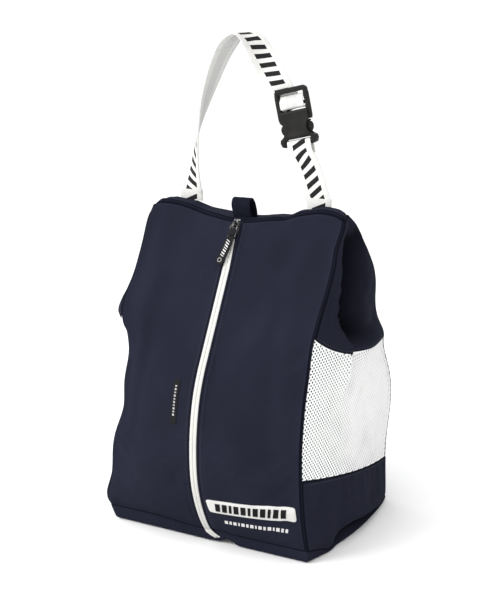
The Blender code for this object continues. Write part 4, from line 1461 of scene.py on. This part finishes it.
def refined(name, node, look, body, width):
    """A copy of a hard CAD node with its edges rounded, which stands for it."""
    mesh = frame["nodes"][node].data.copy()
    item = in_scene(bpy.data.objects.new(name, mesh))
    made = bmesh.new()
    made.from_mesh(mesh)
    bmesh.ops.remove_doubles(made, verts=made.verts, dist=0.00001)
    bmesh.ops.dissolve_limit(made, angle_limit=radians(1.5), verts=made.verts, edges=made.edges)
    made.to_mesh(mesh)
    made.free()
    edge = item.modifiers.new("round", "BEVEL")
    edge.width = width * MM
    edge.segments = 3
    edge.limit_method = "ANGLE"
    edge.angle_limit = radians(28)
    edge.use_clamp_overlap = True
    graph = bpy.context.evaluated_depsgraph_get()
    final = bpy.data.meshes.new_from_object(item.evaluated_get(graph))
    item.modifiers.clear()
    item.data = final
    final.materials.clear()
    final.materials.append(look)
    final.shade_smooth()
    final.set_sharp_from_angle(angle=radians(40))
    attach(item, body)
    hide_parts(node)


def buckle_shield():
    """The socket's front face, which laps over the plug's base, with a shallow thumb recess."""
    half = [(12.6, 21.9), (14.4, 22.2), (15.4, 23.4), (15.5, 28.0), (14.9, 31.6), (13.2, 33.4),
            (11.9, 35.6), (11.5, 38.4), (12.2, 41.4), (13.9, 43.6), (13.6, 45.6), (12.0, 46.6)]
    outline = half + [(-u, v) for u, v in reversed(half)]
    middle = 34.2
    levels = ((0.985, 2.75), (1.0, 3.0), (1.0, 3.9), (0.975, 4.25), (0.93, 4.4), (0.80, 4.4),
              (0.74, 4.2), (0.4, 4.15))
    rings = [[buckle_point(u * scale, middle + (v - middle) * scale, w) for u, v in outline]
             for scale, w in levels]
    ring_piece("buckle_shield", rings, black_plastic, "handle", "black_plastic")


refined("slider", "zip_slider", metal, "slider", METAL_ROUND)
refined("pull_link", "zip_pull", metal, "pull", METAL_ROUND)
refined("buckle_female", "buckle_socket", black_plastic, "handle", PLASTIC_ROUND)
buckle_shield()
refined("buckle_male", "buckle_plug", black_plastic, "plug", PLASTIC_ROUND)
for side, end in SIDES:
    refined(f"catch_{end}", f"buckle_prong_{end}", black_plastic, f"prong_{end}",
            PLASTIC_ROUND)
for node, look in (("zip_top_stop", metal), ("zip_bottom_stop", zip_look)):
    for entry in frame["nodes"][node].material_slots:
        entry.material = look

ZIP_ALONG = Vector((0, ZIP_LOW[0] - ZIP_HIGH[0], ZIP_LOW[1] - ZIP_HIGH[1])).normalized()
ZIP_OUT = Vector((0, ZIP_ALONG.z, -ZIP_ALONG.y))
PULLER_BEND = PULL_AT + 12.4


def on_zip(down, x, up):
    return Vector((0, *ZIP_HIGH)) + ZIP_ALONG * down + ZIP_OUT * up + Vector((x, 0, 0))


def leaning(down, x, up, lean):
    """A point of the puller, turned by its lean about the bend."""
    down = down - PULLER_BEND
    return on_zip(PULLER_BEND + down * cos(lean) + x * sin(lean),
                  x * cos(lean) - down * sin(lean), up)


def puller():
    """The flat puller: its neck goes through the link, and it hangs askew over the zip."""
    level = PULL_UP - 1.2
    neck = PULL_AT + 10.1
    path = [(neck, level - 0.9), (neck, level + 1.0), (PULLER_BEND, level + 2.1),
            (PULLER_BEND + 3.6, level + 1.5), (PULLER_BEND + 9.0, level + 0.3),
            (PULLER_BEND + 18.0, level - 0.3), (PULLER_BEND + PULLER_LONG, level - 0.6)]
    table = smooth_route([(s, up, i) for i, (s, up) in enumerate(path)], 60)
    section = section_of(2.0, 1.0)
    runs = directions([Vector(row[:2]) for row in table])
    rings = []
    uv = []
    for i, (s, up, at) in enumerate(table):
        full = float(ramp(at, 2.0, 3.0))
        wide = 3.4 + 1.4 * full
        tail = (len(table) - 1 - i) / 4.0
        if tail < 1.0:
            wide *= 0.72 + 0.28 * (1 - (1 - tail) ** 2) ** 0.5
        thick = 2 * (0.45 + 0.35 * full)
        rings.append([leaning(s + runs[i].y * b * thick, a * wide, up + runs[i].x * b * thick,
                              PULLER_LEAN * full) for a, b, _ in section])
        uv.append([(s * MM, a * wide * MM) for a, _, _ in section])
    ring_piece("puller", rings, tape_look, "puller", "black_tape", np.array(uv), ("puller_tape",))

    def on_puller(s, x, lift):
        up = np.interp(s, table[:, 0], table[:, 1]) + 0.8 + lift
        return leaning(s, x, up, PULLER_LEAN)

    parts = []
    at = PULLER_BEND + 3.0
    for k in range(7):
        long = 1.3 if k % 3 else 0.8
        points = [on_puller(at + long * a + 0.5 * b, 1.9 * b, lift)
                  for lift in (0.22, -0.2) for b in (-1, 0, 1) for a in (0, 0.5, 1)]
        parts.append((points, shell_faces(3, 3)))
        at += long + 1.35
    centre = PULLER_BEND + PULLER_LONG - 3.9
    ring = [on_puller(centre + 1.9 * sin(a), 1.9 * cos(a), 0.15)
            for a in np.linspace(0, 2 * pi, 24, endpoint=False)]
    parts.append(tube(ring, 0.24, 6, closed=True))
    front_piece("puller_marks", joined(parts), white_ink, "black_tape", body="puller",
                smooth=False)


def pull_sleeve():
    """A short black tape wrapped round the link between the slider and the puller."""
    section = section_of(7.8, 3.4)
    rings = []
    uv = []
    for k, s in enumerate(np.linspace(PULL_AT + 3.0, PULL_AT + 9.6, 8)):
        soft = 1.0 - 0.18 * (k in (0, 7))
        lean = -0.09 * (s - PULL_AT - 2.0)
        rings.append([on_zip(s, a * soft + lean, PULL_UP - 0.9 + b * soft) for a, b, _ in section])
        uv.append([(s * MM, a * MM) for a, _, _ in section])
    ring_piece("pull_sleeve", rings, tape_look, "pull", "black_tape", np.array(uv))


puller()
pull_sleeve()


# Floor


def floor():
    """A wide pale disc under the bag."""
    count = 64
    points = [(0.0, 0.0, 0.0)]
    faces = [(0, 1 + i, 1 + (i + 1) % count) for i in range(count)]
    for k, radius in enumerate((0.4, 1.0, 3.0, 9.0, 30.0)):
        points += [(radius * cos(2 * pi * i / count), radius * sin(2 * pi * i / count), 0.0)
                   for i in range(count)]
        if k:
            low = 1 + (k - 1) * count
            faces += [(low + i, low + count + i, low + count + (i + 1) % count,
                       low + (i + 1) % count) for i in range(count)]
    mesh = bpy.data.meshes.new("floor")
    mesh.from_pydata(points, [], faces)
    look = Look("pale_floor", 0.9, 0.1)
    soft = look.noise(3.0, 2.0)
    look.colour(look.between(soft, (0.91, 0.91, 0.91), (0.93, 0.93, 0.93)))
    mesh.materials.append(look.material)
    in_scene(bpy.data.objects.new("floor", mesh))


floor()
